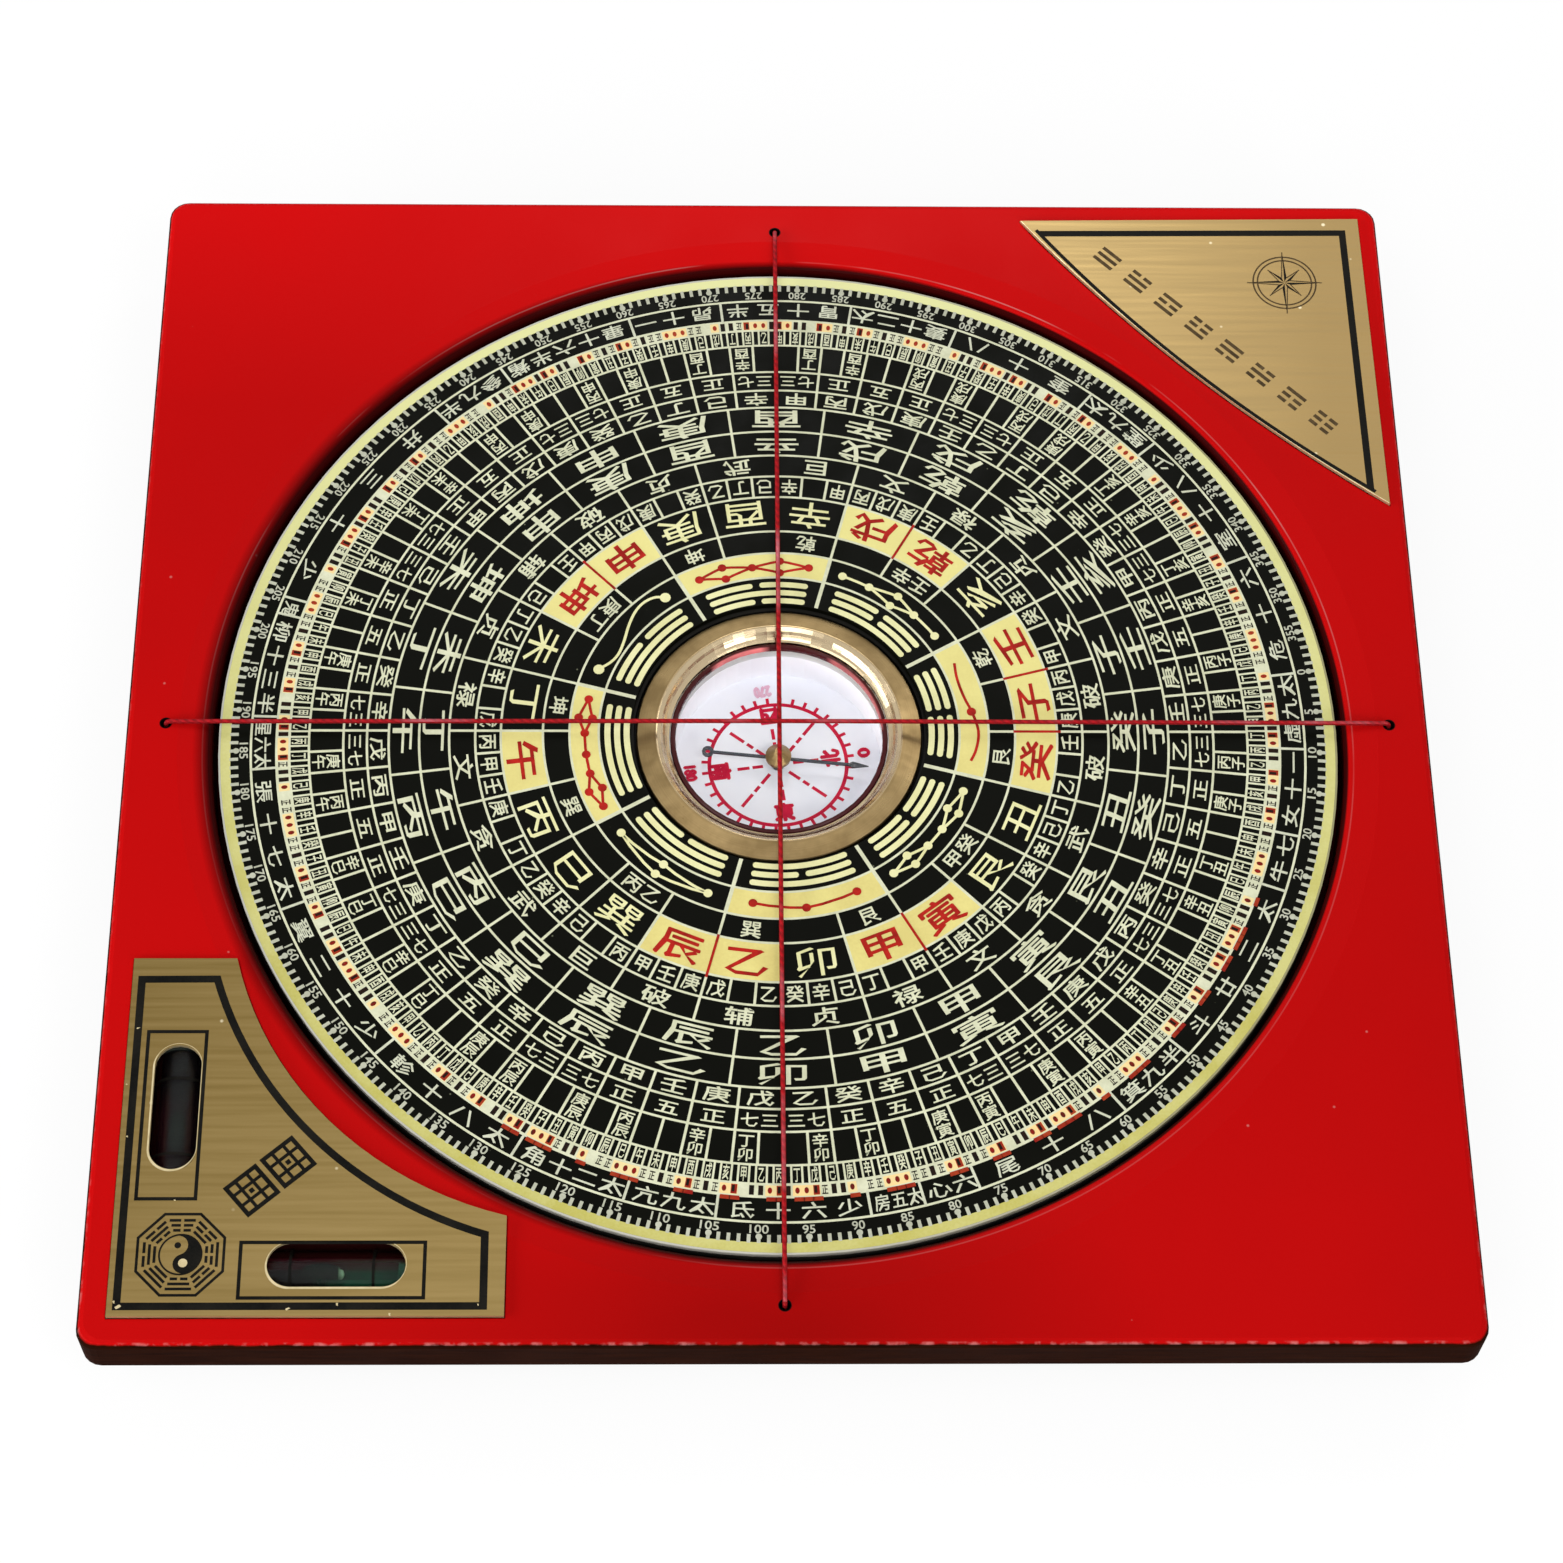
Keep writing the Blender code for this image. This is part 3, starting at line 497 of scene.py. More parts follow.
def glyphShape(text, boldness):
    # outline of a character or number from the built-in font, about 1 wide and 1 high round its middle
    if (text, boldness) in glyphShapes:
        return glyphShapes[(text, boldness)]
    curve = bpy.data.curves.new("glyph", "FONT")
    curve.body = text
    curve.resolution_u = 3 if text.isdigit() else 1
    curve.extrude = 0.01
    curve.offset = boldness
    maker = addObject("glyph", curve)
    bpy.context.view_layer.update()
    shape = maker.evaluated_get(bpy.context.evaluated_depsgraph_get()).to_mesh()
    points = [tuple(vertex.co) for vertex in shape.vertices]
    faces = [tuple(polygon.vertices) for polygon in shape.polygons]
    bpy.data.objects.remove(maker, do_unlink=True)
    bpy.data.curves.remove(curve)
    middleX, spanX, middleY, spanY = 0.5, 0.94, 0.38, 0.93  # of a character, in the font's units
    if text.isdigit():
        lowX, highX = min(p[0] for p in points), max(p[0] for p in points)
        middleX, spanX, middleY, spanY = (lowX + highX) / 2, highX - lowX, 0.35, 0.72
    points = [((x - middleX) / spanX, (y - middleY) / spanY, z > 0) for x, y, z in points]
    glyphShapes[(text, boldness)] = (points, faces)
    return points, faces


fragileGlyphs = "巽辛癸寅室箕尾卯辰"  # made bolder by laying them over themselves


def addGlyph(sheet, text, centre, turn, width, height, high, boldness=0.0):
    if boldness and text in fragileGlyphs:
        for n, shift in enumerate(ringPoints(boldness * height * 1.3, 4, 45)):
            addGlyph(sheet, text, moved(centre, [shift])[0], turn, width, height, high + 0.0014 * n)
        return
    points, faces = glyphShape(text, boldness)
    rightX, rightY = polar(width, turn)
    upX, upY = polar(height, turn + 90)
    base = len(sheet["points"])
    for x, y, top in points:
        spot = centre[0] + rightX * x + upX * y, centre[1] + rightY * x + upY * y
        sheet["points"].append((*spot, high if top else sheet["low"]))
    sheet["faces"] += [tuple(base + corner for corner in face) for face in faces]


def makePiece(name, sheet, material, body="dial"):
    # solid printed or engraved layer from a sheet
    mesh = bpy.data.meshes.new(name)
    mesh.from_pydata([(x * mm, y * mm, z * mm) for x, y, z in sheet["points"]], [], sheet["faces"])
    shape = bmesh.new()
    shape.from_mesh(mesh)
    bmesh.ops.recalc_face_normals(shape, faces=shape.faces)
    shape.to_mesh(mesh)
    shape.free()
    mesh.materials.append(material)
    piece = addObject(name, mesh)
    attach(piece, body)
    print("made", name, len(mesh.polygons), "faces")


# printed dial

dial = {  # millimetres above the table; the coats lie one above another
    "low": 14.99, "cells": 15.010, "rings": 15.016, "spokes": 15.022, "signs": 15.028, "redCoat": 15.036,
    "enamel": (0.0024, 0.0026, 0.0014), "enamelDust": (0.24, 0.25, 0.16),
    "cutEdgeAndHighlight": (0.52, 0.51, 0.44), "cutShade": (0.30, 0.28, 0.15), "cutRadius": (0.07212, 0.07215),
}
inks = {  # two colours, then the scale of the mottling, the shine, and the painted glare colour on the far side
    "yellowPrint": ((0.73, 0.64, 0.225), (0.64, 0.54, 0.18), 220, 0.1, (0.80, 0.76, 0.31)),
    "signPrint": ((0.78, 0.76, 0.42), (0.68, 0.66, 0.33)),
    "palePrint": ((0.69, 0.70, 0.50), (0.56, 0.57, 0.39), 400),
    "whitePrint": ((0.63, 0.65, 0.50), (0.50, 0.51, 0.38), 400),
    "dimPrint": ((0.52, 0.53, 0.42), (0.40, 0.41, 0.31), 400),
    "redPrint": ((0.47, 0.014, 0.008), (0.25, 0.008, 0.005), 500),
    "darkPrint": ((0.006, 0.005, 0.004), (0.018, 0.008, 0.005), 500, 0.05),
    "peachPrint": ((0.86, 0.62, 0.27), (0.80, 0.66, 0.33)),
    "dotRed": ((0.36, 0.045, 0.012), (0.25, 0.008, 0.005), 500),
    "dotBrown": ((0.075, 0.008, 0.004), (0.25, 0.008, 0.005), 500),
    "bandYellow": ((0.49, 0.45, 0.11), (0.58, 0.55, 0.20), 160, 0.1, (0.75, 0.76, 0.38)),
}
stems = "甲乙丙丁戊己庚辛壬癸"
mountains = "子癸丑艮寅甲卯乙辰巽巳丙午丁未坤申庚酉辛戌乾亥壬"
branches = "子丑寅卯辰巳午未申酉戌亥"


def enamelFinish():
    place = startFinish("blackEnamel", roughness=0.34, shine=0.035)
    axes = axesOf(place)
    colour = mixColour(specks(place, 420, 0.06, 0.5), dial["enamel"], dial["enamelDust"])
    # bare cut edge of the sheet with a painted highlight, going yellower and darker with painted shade at
    # the right
    cutEdgeLightAndShade = mixColour(fade(axes["X"], 0.0, 0.05), dial["cutEdgeAndHighlight"], dial["cutShade"])
    colour = mixColour(fade(span(axes["X"], axes["Y"]), *dial["cutRadius"]), colour, cutEdgeLightAndShade)
    return endFinish(colour, fade(noise(place, 160, 5), 0.35, 0.65, 0.28, 0.46),
                     bumpFrom(noise(place, 1400, 3), 0.00002))


def printFinish(name, first, second, scale=220, shine=0.1, farGlare=None):
    place = startFinish(name, roughness=0.42, shine=shine)
    mottle = plus(noise(place, scale, 5), times(noise(place, 2600, 2), 0.35))
    colour = mixColour(fade(mottle, 0.5, 0.85), first, second)
    # painted glare: the print pales towards the far side
    if farGlare:
        colour = mixColour(fade(axesOf(place)["Y"], -0.04, 0.075, 0.0, 0.9), colour, farGlare)
    return endFinish(colour, fade(mottle, 0.5, 0.85, 0.36, 0.52), bumpFrom(mottle, 0.00001))


dress(enamelFinish(), "dial_face")
ink = {name: printFinish(name, *look) for name, look in inks.items()}
low = dial["low"]


def addDialGlyph(sheet, text, angle, look, high=dial["signs"]):
    # a look is the radius of the ring, the glyph's width and height, and its boldness
    radius, width, height, bold = look
    addGlyph(sheet, text, polar(radius, angle), angle + 90, width, height, high, bold)


def makeSignRing(name, cells, lines=(), inkName="palePrint"):
    # a cell is its signs, its middle, the angle between its signs, and their look
    sheet = newSheet(low)
    for line in lines:
        addSpoke(sheet, *line, dial["spokes"])
    for text, middle, pitch, look in cells:
        for n, sign in enumerate(text):
            addDialGlyph(sheet, sign, middle + (n - (len(text) - 1) / 2) * pitch, look)
    makePiece(name, sheet, ink[inkName])


grid = {
    "circles": (23.4, 27.17, 30.61, 36.05, 39.35, 42.72, 46.59, 50.51, 53.31, 56.35, 60.77, 63.28, 64.95,
                68.23),
    "ringLine": 0.30, "spokeLine": 0.34,
    "spokes": (  # first angle, step, inner and outer end, width
        (30, 45, 19.3, 27.2, 0.5), (0, 15, 27.2, 42.7, 0.34), (7.5, 15, 42.7, 50.5, 0.34),
        (0, 6, 50.5, 56.35, 0.34), (0, 3, 56.35, 60.77, 0.34),
    ),
    "fiveDegrees": (36.05, 39.35),
}


def makeGrid():
    sheet = newSheet(low)
    for radius in grid["circles"]:
        addRing(sheet, radius, grid["ringLine"], dial["rings"])
    for first, step, inner, outer, width in grid["spokes"]:
        for n in range(360 // step):
            addSpoke(sheet, first + step * n, inner, outer, width, dial["spokes"])
    for n in range(72):  # five-degree cells between the fifteen-degree lines
        if n % 3:
            addSpoke(sheet, 5 * n, *grid["fiveDegrees"], grid["spokeLine"], dial["spokes"])
    makePiece("dialGrid", sheet, ink["palePrint"])


makeGrid()

trigrams = {
    # from the middle outwards, 1 for a whole bar and 0 for a broken one
    "signs": {277.5: "101", 232.5: "011", 187.5: "111", 142.5: "110", 97.5: "010", 52.5: "100", 7.5: "000",
              322.5: "001"},
    "radii": (19.78, 21.02, 22.27), "barWidth": 0.78, "halfSpread": 17.8, "halfGap": 1.15,
    "roundEnd": 0.42,  # how far an end bulges, in bar widths
}


def barSpans(bar, half, gap):
    return ((-half, half),) if bar == "1" else ((-half, -gap), (gap, half))


def barEnd(radius, width, angle, side):
    # three points of a bent bar's rounded end; side is 1 at its last angle and -1 at its first
    points = []
    for n in range(1, 4):
        bulge = trigrams["roundEnd"] * math.sin(math.pi * n / 4)
        outX, outY = polar(side * width / 2 * math.cos(math.pi * n / 4), angle)
        alongX, alongY = polar(width * bulge, angle + 90 * side)
        points.append((outX + alongX, outY + alongY))
    return moved(polar(radius, angle), points)


def addRoundBar(sheet, radius, width, start, end, high):
    spare = math.degrees(width * trigrams["roundEnd"] / radius)
    count = max(2, math.ceil((end - start) / 1.5))
    angles = [start + spare + (end - start - 2 * spare) * n / count for n in range(count + 1)]
    outside = [polar(radius + width / 2, a) for a in angles] + barEnd(radius, width, angles[-1], 1)
    inside = [polar(radius - width / 2, a) for a in reversed(angles)] + barEnd(radius, width, angles[0], -1)
    addPlate(sheet, outside + inside, high)


def makeTrigrams():
    sheet = newSheet(low)
    width, wide, gap = trigrams["barWidth"], trigrams["halfSpread"], trigrams["halfGap"]
    for middle, bars in trigrams["signs"].items():
        for radius, bar in zip(trigrams["radii"], bars):
            for start, end in barSpans(bar, wide, gap):
                addRoundBar(sheet, radius, width, middle + start, middle + end, dial["signs"])
    makePiece("trigramBars", sheet, ink["signPrint"])


makeTrigrams()

starRing = {
    "inner": 23.4, "outer": 27.17, "dot": 0.58, "dotLift": 0.010, "line": 0.36,
    "golden": (7.5, 97.5, 187.5, 277.5),
    "beads": {  # angle and one radius, or two for a pair
        277.5: ((261.9, 25.2), (277.2, 25.8), (292.5, 25.2)),
        232.5: ((216.3, 25.2), (232.6, 24.5, 26.2), (248.6, 25.3)),
        187.5: ((169.2, 25.2), (175.6, 24.3, 26.1), (180.8, 25.2), (188.0, 25.2), (194.5, 25.2),
                (200.2, 24.3, 26.1), (206.1, 25.2)),
        97.5: ((80.6, 25.2), (89.4, 24.1, 25.9), (97.8, 25.1), (106.6, 24.1, 25.9), (114.4, 25.2)),
        52.5: ((35.0, 25.1), (44.5, 25.1), (52.2, 24.1, 25.9), (61.1, 25.0), (70.0, 25.1)),
        322.5: ((-55.2, 25.2), (-48.4, 24.3, 25.9), (-41.6, 25.2), (-34.7, 25.2), (-27.8, 24.3, 25.9),
                (-20.5, 25.2)),
    },
    "curves": {  # a drawn line through these points, and its dots
        142.5: (((126.4, 25.0), (128.5, 25.9), (132, 26.3), (136, 26.1), (141, 25.3), (146, 24.4),
                 (151, 23.95), (155, 24.3), (158.6, 25.3)), ((126.4, 25.1, 0.72), (158.6, 25.25, 0.72))),
        7.5: (((-10, 25.1), (-6, 25.6), (0, 25.85), (6.7, 25.25), (11, 24.75), (15.6, 24.55), (20, 24.7),
               (24, 25.2)), ((6.7, 25.2, 0.62),)),
    },
}


def smoothPath(path, pieces=5):
    # Catmull-Rom curve through angle and radius pairs
    ends = [Vector(end) for end in (path[0], *path, path[-1])]
    curve = []
    for p0, p1, p2, p3 in zip(ends, ends[1:], ends[2:], ends[3:]):
        for step in range(pieces):
            t = step / pieces
            curve.append(0.5 * (2 * p1 + (p2 - p0) * t + (2 * p0 - 5 * p1 + 4 * p2 - p3) * t * t
                                + (3 * p1 - p0 - 3 * p2 + p3) * t ** 3))
    return [polar(radius, angle) for angle, radius in (*curve, ends[-1])]


def makeStarRing():
    gold, yellow, red = (newSheet(low) for _ in range(3))

    def coatOf(middle):
        return (red, dial["redCoat"]) if middle in starRing["golden"] else (yellow, dial["signs"])

    for middle in starRing["golden"]:
        addArcBand(gold, starRing["inner"], starRing["outer"], middle - 22.5, middle + 22.5, dial["cells"])
    for middle, beads in starRing["beads"].items():
        sheet, high = coatOf(middle)
        for (angle1, *radii1), (angle2, *radii2) in zip(beads, beads[1:]):
            for ends in (((angle1, r1), (angle2, r2)) for r1 in radii1 for r2 in radii2):
                addStroke(sheet, smoothPath(ends, 3), starRing["line"], high)
        for angle, *radii in beads:
            for radius in radii:
                addDisc(sheet, polar(radius, angle), starRing["dot"], high + starRing["dotLift"])
    for middle, (path, dots) in starRing["curves"].items():
        sheet, high = coatOf(middle)
        addStroke(sheet, smoothPath(path), starRing["line"], high)
        for angle, radius, size in dots:
            addDisc(sheet, polar(radius, angle), size, high + starRing["dotLift"])
    makePiece("starCells", gold, ink["yellowPrint"])
    makePiece("starFigures", yellow, ink["signPrint"])
    makePiece("starFiguresRed", red, ink["redPrint"])


makeStarRing()

smallSigns = {"look": (28.9, 2.6, 2.35, 0.012), "first": 232.5, "pitch": 5.6,
              "cells": ("丙乙", "巽", "艮", "甲癸", "艮", "乾", "壬辛", "乾", "坤", "庚丁", "坤", "巽")}
makeSignRing("smallSigns", [(text, smallSigns["first"] + 30 * n, smallSigns["pitch"], smallSigns["look"])
                            for n, text in enumerate(smallSigns["cells"])])

mountainRing = {
    "inner": 30.61, "outer": 36.05, "look": (33.4, 5.7, 4.1, 0.006), "redLook": (33.4, 5.7, 4.1, 0.017),
    "start": 225, "order": "巽辰乙卯甲寅艮丑癸子壬亥乾戌辛酉庚申坤未丁午丙巳",  # anticlockwise
    "golden": "辰乙甲寅癸子壬乾戌申坤午",
    # drawn lines that run a little past the cells: angles, ends and width, height over the red signs
    "redLines": (255, 300, 0, 15, 60, 135), "redLine": (30.41, 36.55, 0.34), "redLift": 0.006,
}


def makeMountainRing():
    gold, yellow, red = (newSheet(low) for _ in range(3))
    inner, outer = mountainRing["inner"], mountainRing["outer"]
    lift = dial["redCoat"] + mountainRing["redLift"]
    for n, sign in enumerate(mountainRing["order"]):
        start = mountainRing["start"] + 15 * n
        if sign in mountainRing["golden"]:
            addArcBand(gold, inner, outer, start, start + 15, dial["cells"])
            addDialGlyph(red, sign, start + 7.5, mountainRing["redLook"], dial["redCoat"])
        else:
            addDialGlyph(yellow, sign, start + 7.5, mountainRing["look"])
    for angle in mountainRing["redLines"]:
        addSpoke(red, angle, *mountainRing["redLine"], lift)
    makePiece("mountainCells", gold, ink["yellowPrint"])
    makePiece("mountainSigns", yellow, ink["signPrint"])
    makePiece("mountainSignsRed", red, ink["redPrint"])


makeMountainRing()

stemCells = ["".join(stems[(branch + 2 * n) % 10] for n in range(5)) for branch in range(12)]
signRings = {  # angle of the first sign, step, look, and the signs, with a space for an empty cell
    "seventyTwoCells": (17.5, -5, (37.7, 2.2, 2.3, 0.014), " ".join(stemCells)),
    "sixtyCells": (27.0, -6, (51.9, 3.3, 2.0, 0.014), "".join(stemCells)),
    "nineStars": (232.5, 15, (41.05, 3.6, 2.4, 0.014), "巨破辅贞禄文贪武破破文贞禄文巨武贞破辅贞禄文贪武"),
    "innerMountains": (15, -15, (44.65, 6.2, 3.1, 0.012), mountains),
    "outerMountains": (0, -15, (48.55, 6.8, 2.9, 0.012), mountains),
}
for ringName, (firstAngle, step, look, signs) in signRings.items():
    makeSignRing(ringName, [(sign.strip(), firstAngle + step * n, 0, look) for n, sign in enumerate(signs)])

countRing = {"signs": ("三七", "正", "五", "正", "七三"), "look": (54.85, 3.0, 1.9, 0.012),
             "pairLook": (54.85, 2.2, 1.9, 0.012), "pitch": 2.6}
pairRing = {"first": -10.5, "turns": (0, 6, 15, 21), "uppers": ("庚丙庚丙", "辛丁辛丁"),
            "inner": (57.65, 2.0, 1.75, 0.014), "outer": (59.5, 2.0, 1.75, 0.014)}


def makeOuterSigns():
    counts, pairs = [], []
    for n in range(60):
        text = countRing["signs"][n % 5]
        look = countRing["pairLook" if len(text) > 1 else "look"]
        counts.append((text, 6 * n + 3, countRing["pitch"], look))
    for branch, sign in enumerate(branches):
        for turn, upper in zip(pairRing["turns"], pairRing["uppers"][branch % 2]):
            angle = pairRing["first"] - 30 * branch + turn
            pairs += [(upper, angle, 0, pairRing["inner"]), (sign, angle, 0, pairRing["outer"])]
    makeSignRing("countSigns", counts)
    makeSignRing("pairSigns", pairs)


makeOuterSigns()

fineRing = {"look": (62.0, 0.82, 2.0, 0.012), "halfCell": 0.62, "line": (60.77, 63.28, 0.26),
            "signs": stems + branches}
dotBand = {
    "band": (63.28, 64.95), "peach": (63.42, 64.81), "radius": 64.1, "start": 241.5,
    # o a dot, R a red mark, # a black mark, g a small sign
    "signs": "ooRg##o.ggooogg#goRg#goR.##oR#", "sign": "正", "look": (64.1, 0.74, 1.3, 0.02),
    "dot": (0.28, 0.42), "redDots": 0.1,  # dots are red where the sine of their angle is above this
    # inner end, outer end and width of each kind of mark
    "blackMark": (63.47, 64.73, 0.60), "redMark": (63.47, 64.73, 0.76), "redTurn": 0.08,
    "markOnRed": (63.596, 64.478, 0.36),
    # the red coat sits a little low on the near side: its angles, radii, and turn past a cell's middle
    "nearSide": (236, 340), "nearCoat": (64.97, 65.50), "nearTurn": (-0.35, 0.75),
}


def makeFineRing():
    cells, lines = [], []
    for n in range(180):
        middle = 2 * n + 1.5
        cells.append((fineRing["signs"][n % 22], middle, 0, fineRing["look"]))
        for side in (-fineRing["halfCell"], fineRing["halfCell"]):
            lines.append((middle + side, *fineRing["line"]))
    makeSignRing("fineSigns", cells, lines)


def makeDotBand():
    ground, peach, red, brown, dark = (newSheet(low) for _ in range(5))
    first, last = dotBand["nearTurn"]
    addArcBand(ground, *dotBand["band"], 0, 360, dial["cells"])
    for n in range(360):
        sign = dotBand["signs"][n % len(dotBand["signs"])]
        angle = dotBand["start"] + n
        if sign in "oR":
            addArcBand(peach, *dotBand["peach"], angle - 0.5, angle + 0.5, dial["spokes"])
            if dotBand["nearSide"][0] < angle % 360 < dotBand["nearSide"][1]:
                addArcBand(red, *dotBand["nearCoat"], angle + first, angle + last, dial["redCoat"])
        if sign == "o":
            sheet = red if math.sin(math.radians(angle)) > dotBand["redDots"] else brown
            addOval(sheet, dotBand["radius"], angle, *dotBand["dot"], dial["redCoat"])
        elif sign == "R":
            addSpoke(red, angle + dotBand["redTurn"], *dotBand["redMark"], dial["signs"])
            addSpoke(dark, angle, *dotBand["markOnRed"], dial["redCoat"])
        elif sign == "#":
            addSpoke(dark, angle, *dotBand["blackMark"], dial["signs"])
        elif sign == "g":
            addDialGlyph(dark, dotBand["sign"], angle, dotBand["look"])
    makePiece("dotBandGround", ground, ink["palePrint"])
    makePiece("dotBandPeach", peach, ink["peachPrint"])
    makePiece("dotBandRed", red, ink["dotRed"])
    makePiece("dotBandBrown", brown, ink["dotBrown"])
    makePiece("dotBandDark", dark, ink["darkPrint"])


makeFineRing()
makeDotBand()

lodges = {
    "start": 240.8, "radius": 66.72, "width": 3.05, "height": 2.15, "bold": 0.010,
    "line": (64.95, 68.23, 0.34), "circle": 365.25, "crowd": 0.94, "fill": 0.92, "shift": 0.3,
    "cells": (("角十二太", 12.75), ("亢九太", 9.75), ("氐十六少", 16.25), ("房五太", 5.75), ("心六", 6),
              ("尾十八", 18), ("箕九半", 9.5), ("斗廿二太", 22.75), ("牛七", 7), ("女十一", 11), ("虛九太", 9.75),
              ("危十六", 16), ("室十八少", 18.25), ("壁九太", 9.75), ("奎十八", 18), ("婁十二太", 12.75),
              ("胃十五半", 15.5), ("昴十一", 11), ("畢十六半觜", 16.5), ("參九半", 9.5), ("井三十少", 30.25),
              ("鬼", 2.25), ("柳十三半", 13.5), ("星六太", 6.75), ("張十七太", 17.75), ("翼二十少", 20.25),
              ("軫十八太", 18.75)),
}


def makeLodges():
    cells, lines = [], []
    start = lodges["start"]
    for text, days in lodges["cells"]:
        wide = days * 360 / lodges["circle"]
        pitch = wide / len(text) * lodges["crowd"]
        width = min(lodges["width"], math.radians(pitch) * lodges["radius"] * lodges["fill"])
        look = lodges["radius"], width, lodges["height"], lodges["bold"]
        cells.append((text, start + wide / 2 + lodges["shift"], pitch, look))
        lines.append((start, *lodges["line"]))
        start += wide
    makeSignRing("lodgeSigns", cells, lines, "whitePrint")


makeLodges()

degreeRing = {"ticks": (69.85, 70.95, 0.45), "band": (70.85, 72.13), "zero": 7.5, "dot": 0.40,
              "dotRadius": 70.12, "radius": 69.13, "digit": 0.78, "height": 1.12, "bold": 0.012}


def makeDegreeRing():
    scale, edge = newSheet(low), newSheet(low)
    addArcBand(edge, *degreeRing["band"], 0, 360, dial["cells"])
    for degree in range(360):
        angle = degreeRing["zero"] - degree
        addSpoke(scale, angle, *degreeRing["ticks"], dial["rings"])
        if degree % 5 == 0:
            addDisc(scale, polar(degreeRing["dotRadius"], angle), degreeRing["dot"], dial["signs"])
            width = degreeRing["digit"] * len(str(degree))
            look = degreeRing["radius"], width, degreeRing["height"], degreeRing["bold"]
            addDialGlyph(scale, str(degree), angle, look)
    makePiece("degreeScale", scale, ink["dimPrint"])
    makePiece("degreeBand", edge, ink["bandYellow"])


makeDegreeRing()
print("dial printed")


# card under the glass

card = {
    "low": 5.99, "top": 6.012, "sign": 6.022, "ring": 9.05, "line": 0.50,
    "ticks": (9.15, 10.1, 0.42), "dash": 0.45, "firstAngle": 8,
    "crossDashes": ((2.0, 3.4), (3.8, 5.4)), "slantDashes": ((1.8, 3.6), (4.1, 5.1), (5.6, 7.9)),
    "signs": {"北": (6.9, 1.0), "西": (-1.1, 7.3), "南": (-7.5, -1.1), "東": (0.8, -7.1)},
    "signSize": 2.45, "signBold": 0.17, "signLift": 0.003,
    "numbers": {"0": (11.3, 1.8), "180": (-11.5, -1.4), "90": (1.6, -11.4)}, "faint": {"270": (-2.0, 11.0)},
    "numberWidths": (1.25, 1.6, 2.1), "numberHeight": 1.5, "numberBold": 0.13, "numberLift": 0.001,
    "red": ((0.66, 0.010, 0.050), (0.50, 0.008, 0.040), 600),
    "pink": ((0.72, 0.38, 0.52), (0.80, 0.55, 0.66), 600),
    "rim": 13.43, "rimLine": 0.30, "edgeLightWhite": (0.95, 0.96, 1.0), "rimStain": (0.88, 0.90, 0.97),
}


def makeCardPrint():
    sheet, faint, rim = (newSheet(card["low"]) for _ in range(3))
    high, above, bold = card["top"], card["sign"], card["numberBold"]
    addRing(sheet, card["ring"], card["line"], high)
    for n in range(36):
        addSpoke(sheet, card["firstAngle"] + 10 * n, *card["ticks"], above)
    for dashes, first in ((card["crossDashes"], 0), (card["slantDashes"], 45)):
        for n in range(4):
            for inner, outer in dashes:
                addSpoke(sheet, card["firstAngle"] + first + 90 * n, inner, outer, card["dash"], high)
    for sign, place in card["signs"].items():
        turn = math.degrees(math.atan2(place[1], place[0])) + 90
        for spot in moved(place, ringPoints(card["signBold"], 6)):  # laid over itself to look bold
            above += card["signLift"]
            addGlyph(sheet, sign, spot, turn, card["signSize"], card["signSize"], above)
    for group, numbers in ((sheet, card["numbers"]), (faint, card["faint"])):
        for text, place in numbers.items():
            turn = math.degrees(math.atan2(place[1], place[0])) + 90
            for spot in moved(place, ((-bold, 0), (bold, 0), (0, bold), (0, -bold))):
                above += card["numberLift"]
                width = card["numberWidths"][len(text) - 1]
                addGlyph(group, text, spot, turn, width, card["numberHeight"], above)
    # white ring over the gap at the card's edge: painted light that hides the gap's shadow
    addRing(rim, card["rim"], card["rimLine"], high)
    edgeLightFinish = twoToneFinish("cardEdgeLight", card["edgeLightWhite"], card["rimStain"], 90, 0.5, shine=0.2)
    makePiece("cardPrint", sheet, printFinish("cardRed", *card["red"]))
    makePiece("cardEdgeLight", rim, edgeLightFinish)
    makePiece("cardFaintNumber", faint, printFinish("cardPink", *card["pink"]))


makeCardPrint()
print("card printed")


# corner plates

plates = {
    "low": 16.49, "top": 16.512, "over": 16.520, "roughness": 0.40,
    "upperLight": (0.39, 0.273, 0.110), "upperDeep": (0.25, 0.166, 0.062),
    "lowerLight": (0.265, 0.183, 0.062), "lowerDeep": (0.152, 0.099, 0.026),
    "upperReflection": (0.040, 0.075, 0.1, 0.9), "lowerReflection": (-0.045, 0.035, 0.9, 0.1),
    "streak": (0.46, 0.35, 0.17), "speck": (0.80, 0.72, 0.50), "edge": (0.62, 0.50, 0.28),
    "ink": ((0.0024, 0.0025, 0.0021), (0.009, 0.008, 0.006), 220, 0.05),
    "brownInk": ((0.050, 0.032, 0.014), (0.10, 0.066, 0.030), 900, 0.05),
    "cutEdgeAndHighlight": ((0.66, 0.56, 0.33), (0.50, 0.41, 0.22), 700, 0.35),
}


